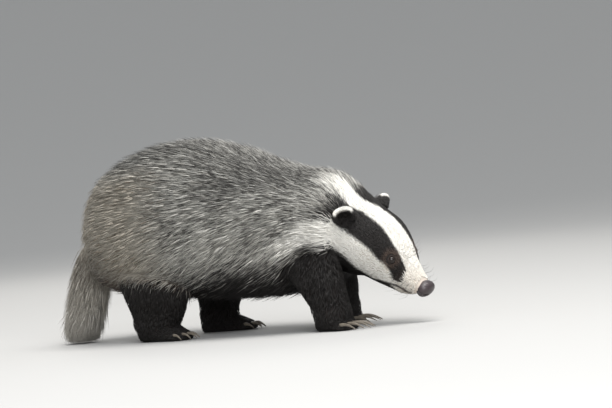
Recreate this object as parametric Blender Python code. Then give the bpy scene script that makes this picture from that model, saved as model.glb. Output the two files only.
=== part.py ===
"""European badger, a still life-size model: walking slowly with its back arched, its head
carried low and straight ahead, and its brush of a tail hanging to the ground.

Metres, +Z up. +X is the way the animal faces and +Y its left side. The origin is on the floor,
under the middle of the whole animal.
"""

import math
import random

import bmesh
import bpy
import numpy as np
from mathutils import Matrix, Vector
from mathutils.bvhtree import BVHTree

# Driving dimensions of a small adult, out to the tips of its coat
GAP = 0.0003  # between two nodes that touch
COAT_DEPTH = 0.012  # from the core of the trunk out to the tips of its locks
RUMP_X = -0.214  # the rearmost point of the coat, without the tail
NECK_SEAM_X = 0.110
HEAD_CENTRE = Vector((0.1816, 0.0, 0.146))  # the point between the ears
HEAD_PITCH = math.radians(51.9)
HEAD_YAW = math.radians(1.7)
HEAD_ROLL = math.radians(12.5)
FLAT_SINK = 0.002  # how far a foot is pressed down before the floor cuts it flat
OVERRUN = 0.002  # how far a core runs past a seam before the seam's plane cuts it
MERGE = 0.00001  # points of a cut body closer than this become one
SEEDS = {"torso": 9, "neck": 6, "tail": 11}  # each coat draws its own small differences

# The trunk's coat, seen from the side and from above: x, top, bottom, half width
TRUNK = [
    (RUMP_X, 0.158, 0.118, 0.022),
    (-0.210, 0.178, 0.093, 0.048),
    (-0.198, 0.202, 0.076, 0.070),
    (-0.180, 0.222, 0.066, 0.088),
    (-0.155, 0.238, 0.059, 0.101),
    (-0.120, 0.252, 0.055, 0.109),
    (-0.080, 0.259, 0.051, 0.113),
    (-0.040, 0.257, 0.049, 0.113),
    (0.000, 0.248, 0.046, 0.110),
    (0.040, 0.232, 0.045, 0.103),
    (0.080, 0.217, 0.047, 0.094),
    (NECK_SEAM_X, 0.210, 0.051, 0.086),
]
# The neck's rings, each from a top point to a bottom point of the middle plane: top x, top z,
# bottom x, bottom z, half width
NECK = [
    (NECK_SEAM_X, 0.210, NECK_SEAM_X, 0.051, 0.086),
    (0.131, 0.208, 0.124, 0.053, 0.079),
    (0.152, 0.196, 0.135, 0.058, 0.071),
]
# The head in its own frame, from the back of the skull to the muzzle: the place forward and the
# height of each ring's top and of its underside, and its half width
HEAD = [
    (-0.024, 0.0085, 0.040, -0.0800, 0.0640),
    (-0.006, 0.0125, 0.048, -0.0730, 0.0605),
    (0.010, 0.0150, 0.054, -0.0650, 0.0575),
    (0.025, 0.0170, 0.058, -0.0560, 0.0545),
    (0.040, 0.0175, 0.064, -0.0515, 0.0505),
    (0.055, 0.0160, 0.072, -0.0490, 0.0450),
    (0.070, 0.0130, 0.081, -0.0460, 0.0380),
    (0.083, 0.0085, 0.090, -0.0425, 0.0310),
    (0.095, 0.0045, 0.099, -0.0385, 0.0260),
    (0.107, 0.0020, 0.109, -0.0345, 0.0230),
    (0.118, 0.0010, 0.115, -0.0285, 0.0188),
    (0.126, 0.0008, 0.121, -0.0225, 0.0138),
    (0.131, -0.0005, 0.125, -0.0170, 0.0090),
]
WIDEST = 0.40  # how far down a ring of the head is widest, as a share of its height
TRUNK_WIDEST = 0.46  # how far up a ring of the trunk is widest
RUMP_TAPER = 0.044  # how far ahead of the rump's end its rings are moved in
NECK_SIDES = 20
SIDE_WEIGHT = 0.05  # how much the turn of a ring counts in the spacing of the neck's rings
ROUNDNESS = 2.3  # the exponent of every cross-section: 2 is an ellipse, more is squarer

# Eyes, ears and nose, in the head's frame
EYE_PLACE = Vector((0.0755, 0.0305, 0.0015))
EYE_RADIUS = 0.0052
EYE_SINK = 0.0030
EAR_SIZE = Vector((0.0085, 0.0150, 0.0158))  # half its depth, width and height
# Each ear's middle and the way its tip points, for the left side (1) and the right (-1): the
# right ear is pricked a little more
EARS = {
    1: (Vector((-0.004, 0.0485, -0.004)), Vector((-0.60, 0.68, 0.40))),
    -1: (Vector((-0.006, -0.0500, 0.002)), Vector((-0.45, -0.55, 0.70))),
}
NOSE_PLACE = Vector((0.1262, 0.0, -0.0068))
NOSE_SIZE = Vector((0.0104, 0.0148, 0.0116))

MOUTH_HINGE = 0.095  # the point that the mouth's line swings round, forward of the ears
MOUTH_SWING = math.radians(112)
MOUTH_HEIGHT = -0.0205
LIP_RADIUS = 0.0017

# Each leg as a path of points with half sizes: x, y, z, half length along X, half width along Y
LEGS = {
    "hind_right": [
        (-0.112, -0.046, 0.130, 0.034, 0.026),
        (-0.106, -0.057, 0.086, 0.047, 0.031),
        (-0.101, -0.062, 0.058, 0.044, 0.029),
        (-0.100, -0.061, 0.038, 0.038, 0.025),
        (-0.105, -0.060, 0.018, 0.029, 0.022),
    ],
    "hind_left": [
        (-0.085, 0.046, 0.130, 0.034, 0.026),
        (-0.075, 0.057, 0.086, 0.043, 0.031),
        (-0.069, 0.062, 0.058, 0.035, 0.029),
        (-0.071, 0.061, 0.038, 0.028, 0.025),
        (-0.073, 0.060, 0.018, 0.024, 0.022),
    ],
    "front_right": [
        (0.105, -0.038, 0.130, 0.032, 0.024),
        (0.122, -0.048, 0.084, 0.037, 0.029),
        (0.136, -0.055, 0.054, 0.031, 0.028),
        (0.145, -0.057, 0.034, 0.026, 0.025),
        (0.149, -0.057, 0.016, 0.023, 0.023),
    ],
    "front_left": [
        (0.088, 0.038, 0.130, 0.032, 0.024),
        (0.096, 0.050, 0.084, 0.037, 0.029),
        (0.103, 0.057, 0.054, 0.031, 0.028),
        (0.107, 0.058, 0.034, 0.026, 0.025),
        (0.109, 0.058, 0.016, 0.023, 0.023),
    ],
}
WRIST_HEIGHT = 0.026  # where a leg ends and its paw begins
# Each foot: how far its toes reach ahead of the leg, its half width, toe size and claw size
FRONT_FOOT = {"reach": 0.030, "half_width": 0.024, "toe": 0.0066, "claw": 0.026, "turn": 6}
HIND_FOOT = {"reach": 0.052, "half_width": 0.021, "toe": 0.0062, "claw": 0.015, "turn": 10}
TOES = 5
CLAW_RADIUS = 0.0026
CLAW_TIP_HEIGHT = 0.0012

# The tail's coat along its bone: x, y, z, half thickness
TAIL = [
    (-0.186, 0.000, 0.164, 0.020),
    (-0.205, -0.002, 0.142, 0.026),
    (-0.217, -0.005, 0.112, 0.028),
    (-0.225, -0.008, 0.080, 0.029),
    (-0.233, -0.010, 0.050, 0.026),
    (-0.238, -0.011, 0.030, 0.018),
    (-0.241, -0.011, 0.018, 0.008),
]
TAIL_CORE = 0.5  # the tail's core, as a share of its coat

# Locks: length, width, thickness, how far they stand out from the core, how deep they root
TRUNK_LOCK = (0.086, 0.051, 0.010, COAT_DEPTH, 0.006)
NECK_LOCK = (0.036, 0.056, 0.008, COAT_DEPTH * 0.75, 0.004)
TAIL_LOCK = (0.066, 0.031, 0.009, 0.012, 0.003)
TAIL_TIP_HEIGHT = 0.008  # the lowest that the tail's hair hangs
LOCK_HOLD = 0.007  # a lock that has come this far off the skin goes straight on
LOCK_STEP = 0.055  # from one ring of locks to the next
LOCK_SPACING = 0.054  # between neighbours in a ring
# From root to tip: the share of a lock's width, and the share of its rise (under 0 is sunk in)
LOCK_SHAPE = ((0.55, -1.0), (1.0, 0.45), (0.95, 0.85), (0.22, 1.0))

FINISHES = {
    "grizzled_coat": ((0.30, 0.29, 0.27), 0.85, 0.0),
    "white_face": ((0.62, 0.59, 0.54), 0.80, 0.0),
    "black_legs": ((0.022, 0.020, 0.020), 0.75, 0.0),
    "tail_coat": ((0.42, 0.39, 0.33), 0.85, 0.0),
    "black_ear": ((0.030, 0.027, 0.026), 0.80, 0.0),
    "nose_leather": ((0.045, 0.036, 0.038), 0.35, 0.0),
    "eye": ((0.010, 0.008, 0.007), 0.05, 0.0),
    "claw_horn": ((0.20, 0.17, 0.13), 0.40, 0.0),
}


def clear_scene():
    for thing in list(bpy.data.objects):
        bpy.data.objects.remove(thing, do_unlink=True)


def new_collection(name, hidden=False):
    group = bpy.data.collections.new(name)
    bpy.context.scene.collection.children.link(group)
    group.hide_render = hidden
    return group


def finish(name):
    """The Principled material of one finish."""
    found = bpy.data.materials.get(name)
    if found:
        return found
    colour, roughness, metallic = FINISHES[name]
    made = bpy.data.materials.new(name)
    made.use_nodes = True
    shader = made.node_tree.nodes["Principled BSDF"]
    shader.inputs["Base Color"].default_value = (*colour, 1.0)
    shader.inputs["Roughness"].default_value = roughness
    shader.inputs["Metallic"].default_value = metallic
    return made


def add_object(name, bm, group, finish_name=None):
    """Turns a bmesh into an object of one group, with its faces pointing out."""
    bmesh.ops.recalc_face_normals(bm, faces=bm.faces)
    mesh = bpy.data.meshes.new(name)
    bm.to_mesh(mesh)
    bm.free()
    thing = bpy.data.objects.new(name, mesh)
    group.objects.link(thing)
    if finish_name:
        mesh.materials.append(finish(finish_name))
    return thing


def resampled(table, count):
    """The rows of a table at evenly spaced places along it, on a smooth curve through them."""
    rows = np.array(table, float)
    steps = np.linalg.norm(np.diff(rows, axis=0), axis=1)
    along = np.concatenate([[0.0], np.cumsum(steps)])
    slopes = np.gradient(rows, along, axis=0)
    out = []
    for t in np.linspace(0.0, along[-1], count):
        i = min(int(np.searchsorted(along, t, "right")) - 1, len(rows) - 2)
        span = along[i + 1] - along[i]
        u = (t - along[i]) / span
        out.append(
            (2 * u**3 - 3 * u**2 + 1) * rows[i]
            + (u**3 - 2 * u**2 + u) * span * slopes[i]
            + (3 * u**2 - 2 * u**3) * rows[i + 1]
            + (u**3 - u**2) * span * slopes[i + 1]
        )
    return out


def section(centre, side, up, half_width, above, below, sides, power=ROUNDNESS):
    """A closed cross-section whose top and bottom halves may differ in height."""
    points = []
    for k in range(sides):
        turn = 2 * math.pi * k / sides
        across = math.copysign(abs(math.sin(turn)) ** (2 / power), math.sin(turn))
        rise = math.copysign(abs(math.cos(turn)) ** (2 / power), math.cos(turn))
        height = above if rise > 0 else below
        points.append(centre + side * (across * half_width) + up * (rise * height))
    return points


def loft(rings, start_bulge=0.0, end_bulge=0.0):
    """A closed body through a list of rings of equal count, each end closed by a fan."""
    bm = bmesh.new()
    rows = [[bm.verts.new(p) for p in ring] for ring in rings]
    for row, after in zip(rows, rows[1:]):
        for k in range(len(row)):
            j = (k + 1) % len(row)
            bm.faces.new((row[k], row[j], after[j], after[k]))
    for row, inner, bulge in ((rows[0], rings[1], start_bulge), (rows[-1], rings[-2], end_bulge)):
        middle = sum((v.co for v in row), Vector()) / len(row)
        inward = sum(inner, Vector()) / len(inner)
        tip = bm.verts.new(middle + (middle - inward).normalized() * bulge)
        for k in range(len(row)):
            bm.faces.new((row[k], row[(k + 1) % len(row)], tip))
    bmesh.ops.triangulate(bm, faces=bm.faces)
    return bm


def head_matrix():
    """From the head's own frame, nose along +X, to the animal's."""
    turn = (
        Matrix.Rotation(HEAD_YAW, 4, "Z")
        @ Matrix.Rotation(HEAD_PITCH, 4, "Y")
        @ Matrix.Rotation(HEAD_ROLL, 4, "X")
    )
    return Matrix.Translation(HEAD_CENTRE) @ turn


def trunk_rings(count, sides, inset):
    """Upright sections of the trunk from rump to neck, inset from the coat's surface."""
    rings = []
    for x, top, bottom, half in resampled(TRUNK, count):
        low, high = bottom + inset, top - inset
        wide = low + TRUNK_WIDEST * (high - low)
        shift = inset * max(0.0, min(1.0, (RUMP_X + RUMP_TAPER - x) / RUMP_TAPER))
        rings.append(
            section(
                Vector((x + shift, 0, wide)),
                Vector((0, 1, 0)),
                Vector((0, 0, 1)),
                max(half - inset, 0.006),
                high - wide,
                wide - low,
                sides,
            )
        )
    return rings


def head_section(row, sides, inset):
    """One section of the head, in the animal's frame."""
    top_x, top_z, low_x, low_z, half = row
    place = head_matrix()
    high = place @ Vector((top_x, 0, top_z))
    under = place @ Vector((low_x, 0, low_z))
    up = (high - under).normalized()
    wide = high.lerp(under, WIDEST)
    above, below = (high - wide).length - inset, (wide - under).length - inset
    side = place.to_3x3() @ Vector((0, 1, 0))
    return section(wide, side, up, half - inset, above, below, sides)


def neck_rings(count, sides, inset):
    """The neck, turning from the upright seam of the trunk to the tilted back of the head."""
    back = head_section(HEAD[0], sides, 0.0)
    top, low = back[0], back[sides // 2]
    side = head_matrix().to_3x3() @ Vector((0, 1, 0))
    rows = [(a, 0.0, b, c, 0.0, d, 0.0, SIDE_WEIGHT, 0.0, half) for a, b, c, d, half in NECK]
    rows.append((*top, *low, *(side * SIDE_WEIGHT), HEAD[0][4]))
    rings = []
    for row in resampled(rows, count):
        high, under = Vector(row[0:3]), Vector(row[3:6])
        across = Vector(row[6:9]).normalized()
        up = (high - under).normalized()
        share = len(rings) / (count - 1)
        down = (1 - TRUNK_WIDEST) * (1 - share) + WIDEST * share
        wide = high.lerp(under, down)
        across = (across - up * across.dot(up)).normalized()
        rings.append(
            section(
                wide,
                across,
                up,
                row[9] - inset,
                (high - wide).length - inset,
                (wide - under).length - inset,
                sides,
            )
        )
    return rings


def grown_copy(thing, by, group, name):
    """The same body with its surface moved out, for cutting its neighbours."""
    bm = bmesh.new()
    bm.from_mesh(thing.data)
    bmesh.ops.triangulate(bm, faces=bm.faces)
    bm.normal_update()
    shifts = [v.normal * by * min(v.calc_shell_factor(), 1.6) for v in bm.verts]
    for v, shift in zip(bm.verts, shifts):
        v.co += shift
    mesh = bpy.data.meshes.new(name)
    bm.to_mesh(mesh)
    bm.free()
    copy = bpy.data.objects.new(name, mesh)
    group.objects.link(copy)
    return copy


def boolean(thing, operation, others, remove=True, merge=0.0):
    """Joins or cuts a body with several closed bodies at once, and keeps its largest surface."""
    group = bpy.data.collections.new(f"{thing.name}_{operation.lower()}")
    bpy.context.scene.collection.children.link(group)
    for other in others:
        group.objects.link(other)
    change = thing.modifiers.new("pieces", "BOOLEAN")
    change.operation = operation
    change.operand_type = "COLLECTION"
    change.solver = "MANIFOLD"
    change.collection = group
    graph = bpy.context.evaluated_depsgraph_get()
    mesh = bpy.data.meshes.new_from_object(thing.evaluated_get(graph))
    thing.modifiers.clear()
    old = thing.data
    thing.data = mesh
    mesh.name = old.name
    bpy.data.meshes.remove(old)
    for other in others:
        group.objects.unlink(other)
        if remove:
            bpy.data.objects.remove(other, do_unlink=True)
    bpy.data.collections.remove(group)
    keep_largest(thing, merge)


def keep_largest(thing, merge):
    """Drops every scrap but the largest closed surface of a body."""
    bm = bmesh.new()
    bm.from_mesh(thing.data)
    bmesh.ops.remove_doubles(bm, verts=bm.verts, dist=merge)
    left = set(bm.faces)
    islands = []
    while left:
        start = left.pop()
        island, front = [start], [start]
        while front:
            for edge in front.pop().edges:
                for face in edge.link_faces if edge.is_manifold else ():
                    if face in left:
                        left.remove(face)
                        island.append(face)
                        front.append(face)
        islands.append(island)
    islands.sort(key=lambda island: sum(face.calc_area() for face in island), reverse=True)
    loose = [face for island in islands[1:] for face in island]
    bmesh.ops.delete(bm, geom=loose, context="FACES")
    bmesh.ops.triangulate(bm, faces=bm.faces, ngon_method="EAR_CLIP")
    bm.to_mesh(thing.data)
    bm.free()


def ellipsoid(name, place, size, turn, group, segments=16, rings=10, finish_name=None):
    """A UV sphere stretched to three half sizes and turned."""
    bm = bmesh.new()
    bmesh.ops.create_uvsphere(bm, u_segments=segments, v_segments=rings, radius=1.0)
    shape = Matrix.Translation(place) @ turn.to_4x4() @ Matrix.Diagonal((*size, 1.0))
    bmesh.ops.transform(bm, matrix=shape, verts=bm.verts)
    return add_object(name, bm, group, finish_name)


def make_trunk(group):
    """The trunk's core, which carries its locks."""
    rings = trunk_rings(13, 20, COAT_DEPTH)
    rings[-1] = [p + Vector((OVERRUN, 0, 0)) for p in rings[-1]]
    bm = loft(rings, start_bulge=0.004)
    return add_object("torso", bm, group, "grizzled_coat")


def make_neck(group):
    rings = neck_rings(5, NECK_SIDES, COAT_DEPTH * 0.75)
    rings[0] = [p - Vector((OVERRUN, 0, 0)) for p in rings[0]]
    forward = head_matrix().to_3x3() @ Vector((OVERRUN, 0, 0))
    rings[-1] = [p + forward for p in rings[-1]]
    return add_object("neck", loft(rings), group, "grizzled_coat")


def make_head(group):
    """The head without its eyes, ears and nose leather."""
    rings = [head_section(row, 22, 0.0) for row in resampled(HEAD, 14)]
    shift = head_matrix().to_3x3() @ Vector((GAP, 0, 0))
    rings[0] = [p + shift for p in rings[0]]
    return add_object("head", loft(rings, end_bulge=0.003), group, "white_face")


def make_leg(name, group):
    """One leg from inside the trunk down to the wrist or heel."""
    rows = resampled(LEGS[name], 7)
    rings = []
    for x, y, z, length, width in rows:
        rings.append(
            section(Vector((x, y, z)), Vector((0, 1, 0)), Vector((1, 0, 0)), width, length, length, 12)
        )
    return add_object(f"leg_{name}", loft(rings), group, "black_legs")


def foot_frame(name):
    """The place of a foot's ankle on the floor, and its turn about Z."""
    x, y, _, _, _ = LEGS[name][-1]
    foot = FRONT_FOOT if "front" in name else HIND_FOOT
    outward = 1 if y > 0 else -1
    turn = Matrix.Rotation(math.radians(foot["turn"]) * outward, 4, "Z")
    return Matrix.Translation((x, y, 0)) @ turn, foot


def toe_places(foot):
    """For each toe of a foot, in the foot's frame: where it starts, where it ends, its size."""
    toes = []
    for k in range(TOES):
        spread = 2 * k / (TOES - 1) - 1
        size = foot["toe"] * (1.0 - 0.10 * spread**2)
        reach = foot["reach"] * (1.0 - 0.20 * spread**2)
        across = foot["half_width"] - size * 0.7
        start = Vector((reach - 0.022, spread * across * 0.80, 0.0115))
        end = Vector((reach - 0.004, spread * across, size * 0.95))
        toes.append((start, end, size))
    return toes


def make_paw(name, group, cutters):
    """A paw with its pads, toes and flat sole."""
    frame, foot = foot_frame(name)
    x, y, _, length, width = LEGS[name][-1]
    turn = frame.to_3x3()
    heel = -0.022
    rows = [
        (heel, 0.016, 0.012),
        (heel + 0.008, 0.026, 0.019),
        (0.004, 0.028, foot["half_width"]),
        (foot["reach"] * 0.45, 0.023, foot["half_width"]),
        (foot["reach"] - 0.012, 0.017, foot["half_width"] * 0.93),
        (foot["reach"] - 0.003, 0.012, foot["half_width"] * 0.72),
    ]
    rings = []
    for along, top, half in resampled(rows, 6):
        middle = frame @ Vector((along, 0, top / 2 - FLAT_SINK))
        rings.append(section(middle, turn @ Vector((0, 1, 0)), Vector((0, 0, 1)), half, top / 2, top / 2, 12))
    paw = add_object(f"paw_{name}", loft(rings, 0.002, 0.002), group, "black_legs")
    pieces = []
    for start, end, size in toe_places(foot):
        along = (end - start).normalized()
        lie = turn @ along.to_track_quat("X", "Z").to_matrix()
        half = (end - start).length / 2 + size * 0.8
        middle = frame @ ((start + end) / 2 - Vector((0, 0, FLAT_SINK * 0.5)))
        pieces.append(ellipsoid("toe", middle, (half, size, size * 1.02), lie, cutters, 7, 5))
    ankle = [
        section(Vector((x, y, z)), Vector((0, 1, 0)), Vector((1, 0, 0)), width * k, length * k, length * k, 12)
        for z, k in ((0.008, 0.8), (0.018, 1.0), (WRIST_HEIGHT + 0.004, 1.0))
    ]
    pieces.append(add_object("ankle", loft(ankle), cutters))
    boolean(paw, "UNION", pieces)
    floor = bmesh.new()
    bmesh.ops.create_cube(floor, size=1.0)
    bmesh.ops.translate(floor, verts=floor.verts, vec=(0, 0, -0.5))
    below = add_object("below_floor", floor, cutters)
    boolean(paw, "DIFFERENCE", [below])
    return paw


def make_claw(name, number, toe, group, grow=0.0):
    """A curved, tapering claw, grown a little where it serves to cut its socket."""
    frame, foot = foot_frame(name)
    start, end, size = toe
    forward = Vector((end.x - start.x, end.y - start.y, 0)).normalized()
    tilt = Vector((-forward.y, forward.x, 0))
    rings = []
    count = 5
    base = end + forward * (size * 0.10) + Vector((0, 0, size * 0.28))
    drop = base.z - CLAW_TIP_HEIGHT - CLAW_RADIUS * 0.3
    for k in range(count):
        t = k / (count - 1)
        middle = base + forward * (foot["claw"] * t) + Vector((0, 0, 0.0022 * math.sin(math.pi * t)))
        middle.z -= drop * t**1.7
        radius = CLAW_RADIUS * (1.0 - 0.85 * t) ** 0.8 + grow
        slope = Vector((forward.x, forward.y, -1.7 * drop / foot["claw"] * t**0.7)).normalized()
        up = slope.cross(tilt).normalized() * -1
        rings.append(
            [
                frame @ (middle + tilt * (math.sin(a) * radius * 0.72) + up * (math.cos(a) * radius))
                for a in (2 * math.pi * j / 5 for j in range(5))
            ]
        )
    if grow:
        shift = (rings[0][0] - rings[1][0]).normalized() * grow
        rings[0] = [p + shift for p in rings[0]]
    return add_object(f"claw_{name}_{number}", loft(rings), group, "claw_horn")


def make_tail(group, share):
    """The tail as a smooth form, at a share of its coat's thickness."""
    rows = resampled(TAIL, 9)
    rings = []
    for k, (x, y, z, thick) in enumerate(rows):
        before, after = rows[max(k - 1, 0)], rows[min(k + 1, len(rows) - 1)]
        along = Vector(after[:3] - before[:3]).normalized()
        side = Vector((0, 1, 0))
        side = (side - along * side.dot(along)).normalized()
        up = along.cross(side)
        half = thick * share
        rings.append(section(Vector((x, y, z)), side, up, half, half, half, 10, 2.0))
    return add_object("tail", loft(rings, end_bulge=0.003), group, "tail_coat")


def ear_frame(side):
    """The place and turn of an ear's cup: local +X is its open side and +Z its tip."""
    place = head_matrix()
    spot, tip = EARS[side]
    tip = tip.normalized()
    opening = Vector((0.80, 0.60 * side, 0.0))
    opening = (opening - tip * opening.dot(tip)).normalized()
    across = tip.cross(opening)
    turn = place.to_3x3() @ Matrix((opening, across, tip)).transposed()
    return Matrix.Translation(place @ spot) @ turn.to_4x4()


def make_ear(side, name, group, cutters):
    """A low round ear with its cup open forwards and outwards."""
    frame = ear_frame(side)
    turn = frame.to_3x3()
    ear = ellipsoid(name, frame @ Vector((0, 0, 0)), EAR_SIZE, turn, group, 14, 10, "black_ear")
    lean = turn @ Matrix.Rotation(math.radians(7), 3, "X")
    spot = frame @ Vector((EAR_SIZE.x * 0.72, 0.0003, EAR_SIZE.z * 0.10))
    size = (EAR_SIZE.x * 1.05, EAR_SIZE.y * 0.80, EAR_SIZE.z * 0.76)
    hollow = ellipsoid("hollow", spot, size, lean, cutters, 12, 8)
    boolean(ear, "DIFFERENCE", [hollow])
    return ear


def eye_frame(side):
    """The eye's centre and the direction that it looks, in the animal's frame."""
    place = head_matrix()
    look = Vector((0.42, 0.70 * side, 0.58)).normalized()
    centre = Vector((EYE_PLACE.x, EYE_PLACE.y * side, EYE_PLACE.z)) - look * EYE_SINK
    return place @ centre, (place.to_3x3() @ look).normalized()


def lid_ring(side, cutters):
    """The rim of both lids, an almond ring that lies round the eye."""
    centre, look = eye_frame(side)
    nose_way = (head_matrix().to_3x3() @ Vector((0.90, 0.20 * side, -0.42))).normalized()
    along = (nose_way - look * nose_way.dot(look)).normalized()
    up = look.cross(along) * -side
    bm = bmesh.new()
    around, thick = 12, 4
    rows = []
    for k in range(around):
        turn = 2 * math.pi * k / around
        out = along * (math.cos(turn) * EYE_RADIUS * 1.12) + up * (
            math.copysign(abs(math.sin(turn)) ** 1.25, math.sin(turn)) * EYE_RADIUS * 0.80
        )
        middle = centre + out + look * (EYE_SINK * 0.95)
        away = out.normalized()
        wide = 0.0015 + 0.0005 * max(0.0, math.sin(turn))
        rows.append(
            [
                bm.verts.new(middle + away * (math.cos(a) * wide) + look * (math.sin(a) * 0.0014))
                for a in (2 * math.pi * j / thick for j in range(thick))
            ]
        )
    for k in range(around):
        row, after = rows[k], rows[(k + 1) % around]
        for j in range(thick):
            bm.faces.new((row[j], row[(j + 1) % thick], after[(j + 1) % thick], after[j]))
    return add_object("lids", bm, cutters)


def surface_of(thing):
    bm = bmesh.new()
    bm.from_mesh(thing.data)
    tree = BVHTree.FromBMesh(bm)
    bm.free()
    return tree


def tube(name, points, radius, cutters, sides=4):
    """A thin closed tube along a path, for a groove or a rolled lip."""
    rings = []
    for k, p in enumerate(points):
        along = (points[min(k + 1, len(points) - 1)] - points[max(k - 1, 0)]).normalized()
        side = along.cross(Vector((0, 0, 1))).normalized()
        up = along.cross(side)
        taper = 0.45 if k in (0, len(points) - 1) else 1.0
        rings.append(
            [
                p + (side * math.cos(a) + up * math.sin(a)) * radius * taper
                for a in (2 * math.pi * j / sides for j in range(sides))
            ]
        )
    return add_object(name, loft(rings), cutters)


def mouth_path(surface, lift=0.0, count=9):
    """Points of the mouth's line on the head's skin, from one corner round the front to the other."""
    place = head_matrix()
    turn = place.to_3x3()
    points = []
    for k in range(count):
        t = 2 * k / (count - 1) - 1
        height = MOUTH_HEIGHT - 0.0105 * abs(t) ** 1.5 + 0.0040 * math.sin(math.pi * abs(t)) + lift
        swing = MOUTH_SWING * t
        ray = turn @ Vector((math.cos(swing), math.sin(swing), 0))
        hit, normal, _, _ = surface.ray_cast(place @ Vector((MOUTH_HINGE, 0, height)), ray)
        points.append((hit, normal))
    return points


def make_face(head, cutters):
    """Adds lids and lips to the head, and cuts the mouth's line."""
    surface = surface_of(head)
    lids = [lid_ring(side, cutters) for side in (1, -1)]
    lips = [
        tube("lip", [p - n * LIP_RADIUS * 0.45 for p, n in mouth_path(surface, lift)], LIP_RADIUS, cutters)
        for lift in (0.0023, -0.0025)
    ]
    boolean(head, "UNION", [*lids, *lips], merge=MERGE)
    line = tube("mouth_line", [p + n * 0.0004 for p, n in mouth_path(surface)], 0.0010, cutters)
    boolean(head, "DIFFERENCE", [line], merge=MERGE)


def make_nose(group, cutters):
    """The nose leather with its two nostrils."""
    place = head_matrix()
    turn = place.to_3x3()
    nose = ellipsoid("nose", place @ NOSE_PLACE, NOSE_SIZE, turn, group, 14, 9, "nose_leather")
    holes = []
    for side in (1, -1):
        spot = NOSE_PLACE + Vector((NOSE_SIZE.x * 0.86, NOSE_SIZE.y * 0.42 * side, -NOSE_SIZE.z * 0.12))
        lie = turn @ Matrix.Rotation(math.radians(25 * side), 3, "X")
        holes.append(ellipsoid("nostril", place @ spot, (0.0042, 0.0022, 0.0031), lie, cutters, 8, 6))
    boolean(nose, "DIFFERENCE", holes)
    return nose


def lie_of_coat(p):
    """The way the coat lies at a point: back along the trunk, and down over flank and rump."""
    flank = max(0.0, min(1.0, (0.20 - p.z) / 0.10))
    rump = max(0.0, min(1.0, (-0.10 - p.x) / 0.09))
    neck = max(0.0, min(1.0, (p.x - 0.10) / 0.06))
    droop = 0.18 + 0.45 * flank + 0.9 * rump
    return Vector((-1.0, 0.0, -droop * (1 - neck) + 0.35 * neck))


def lie_of_tail(p):
    """The way the tail's hair lies at a point: down along its bone."""
    return Vector((-0.30, -0.06, -1.0))


def make_lock(root, surface, size, lie, group):
    """A flat, tapering lock that leaves the skin at its root and bends along the body."""
    length, width, thick, rise, sink = size
    p, normal, _, _ = surface.find_nearest(root)
    rings = []
    for share, height in LOCK_SHAPE:
        flow = lie(p)
        along = (flow - normal * flow.dot(normal)).normalized()
        side = normal.cross(along)
        lift = -sink if height < 0 else height * (rise - thick / 2)
        middle = p + normal * lift
        half, body = width * share / 2, thick * (0.45 + 0.55 * share) / 2
        corners = (side * half, normal * body, side * -half)
        rings.append([middle + corner for corner in corners])
        p = p + along * (length / (len(LOCK_SHAPE) - 1))
        hit, near, _, away = surface.find_nearest(p)
        if away < LOCK_HOLD:
            p, normal = hit, normal.lerp(near, 0.8).normalized()
    return add_object("lock", loft(rings), group)


def trunk_roots(draw):
    """Where the trunk's locks grow, in staggered rings from the shoulder to the rump."""
    roots = []
    rows = int((NECK_SEAM_X - RUMP_X) / LOCK_STEP)
    for row in range(rows):
        x = NECK_SEAM_X - 0.007 - row * LOCK_STEP
        _, top, bottom, half = min(TRUNK, key=lambda station: abs(station[0] - x))
        count = max(5, round(math.pi * (half + (top - bottom) / 2) / LOCK_SPACING))
        for k in range(count):
            turn = 2 * math.pi * (k + 0.5 * (row % 2) + draw.uniform(-0.15, 0.15)) / count
            place = Vector((x - draw.uniform(0.0, 0.012), half * math.sin(turn), 0))
            place.z = (top + bottom) / 2 + (top - bottom) / 2 * math.cos(turn)
            roots.append(place)
    return roots


def neck_wall():
    """The sides of the neck and of the trunk behind it as one open surface, so that a lock which
    crosses the seam between them lies along both."""
    rings = trunk_rings(13, NECK_SIDES, COAT_DEPTH)[-4:]
    rings += neck_rings(5, NECK_SIDES, COAT_DEPTH * 0.75)[1:]
    faces = []
    for i in range(len(rings) - 1):
        for k in range(NECK_SIDES):
            j = (k + 1) % NECK_SIDES
            low, high = i * NECK_SIDES, (i + 1) * NECK_SIDES
            faces.append((low + k, high + k, high + j, low + j))
    return BVHTree.FromPolygons([p for ring in rings for p in ring], faces)


def neck_roots(draw):
    """Where the neck's locks grow, in three rings behind the head."""
    rings = neck_rings(7, 7, COAT_DEPTH * 0.75)
    roots = []
    for row in (5, 3, 1):
        ring = rings[row]
        for k, place in enumerate(ring):
            after = ring[(k + 1) % len(ring)]
            roots.append(place.lerp(after, 0.25 * (row % 4) + draw.uniform(0.0, 0.2)))
    return roots


def tail_roots(draw):
    """Where the tail's locks grow, in rings down its bone."""
    roots = []
    for row, station in enumerate(resampled(TAIL, 6)[1:5]):
        x, y, z, thick = station
        count = 5 if row < 3 else 3
        for k in range(count):
            turn = 2 * math.pi * (k + 0.5 * (row % 2) + draw.uniform(-0.15, 0.15)) / count
            roots.append(Vector((x + thick * math.cos(turn), y + thick * math.sin(turn), z)))
    return roots


def varied(size, draw):
    """A lock's size, a little longer or shorter and wider or narrower than its fellows."""
    length, width, thick, rise, sink = size
    return length * draw.uniform(0.85, 1.12), width * draw.uniform(0.9, 1.1), thick, rise, sink


def half_space(name, low, high, group):
    """A large box with two opposite corners given, for a straight cut."""
    bm = bmesh.new()
    bmesh.ops.create_cube(bm, size=1.0)
    size = Vector(high) - Vector(low)
    bmesh.ops.scale(bm, verts=bm.verts, vec=size)
    bmesh.ops.translate(bm, verts=bm.verts, vec=Vector(low) + size / 2)
    return add_object(name, bm, group)


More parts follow.
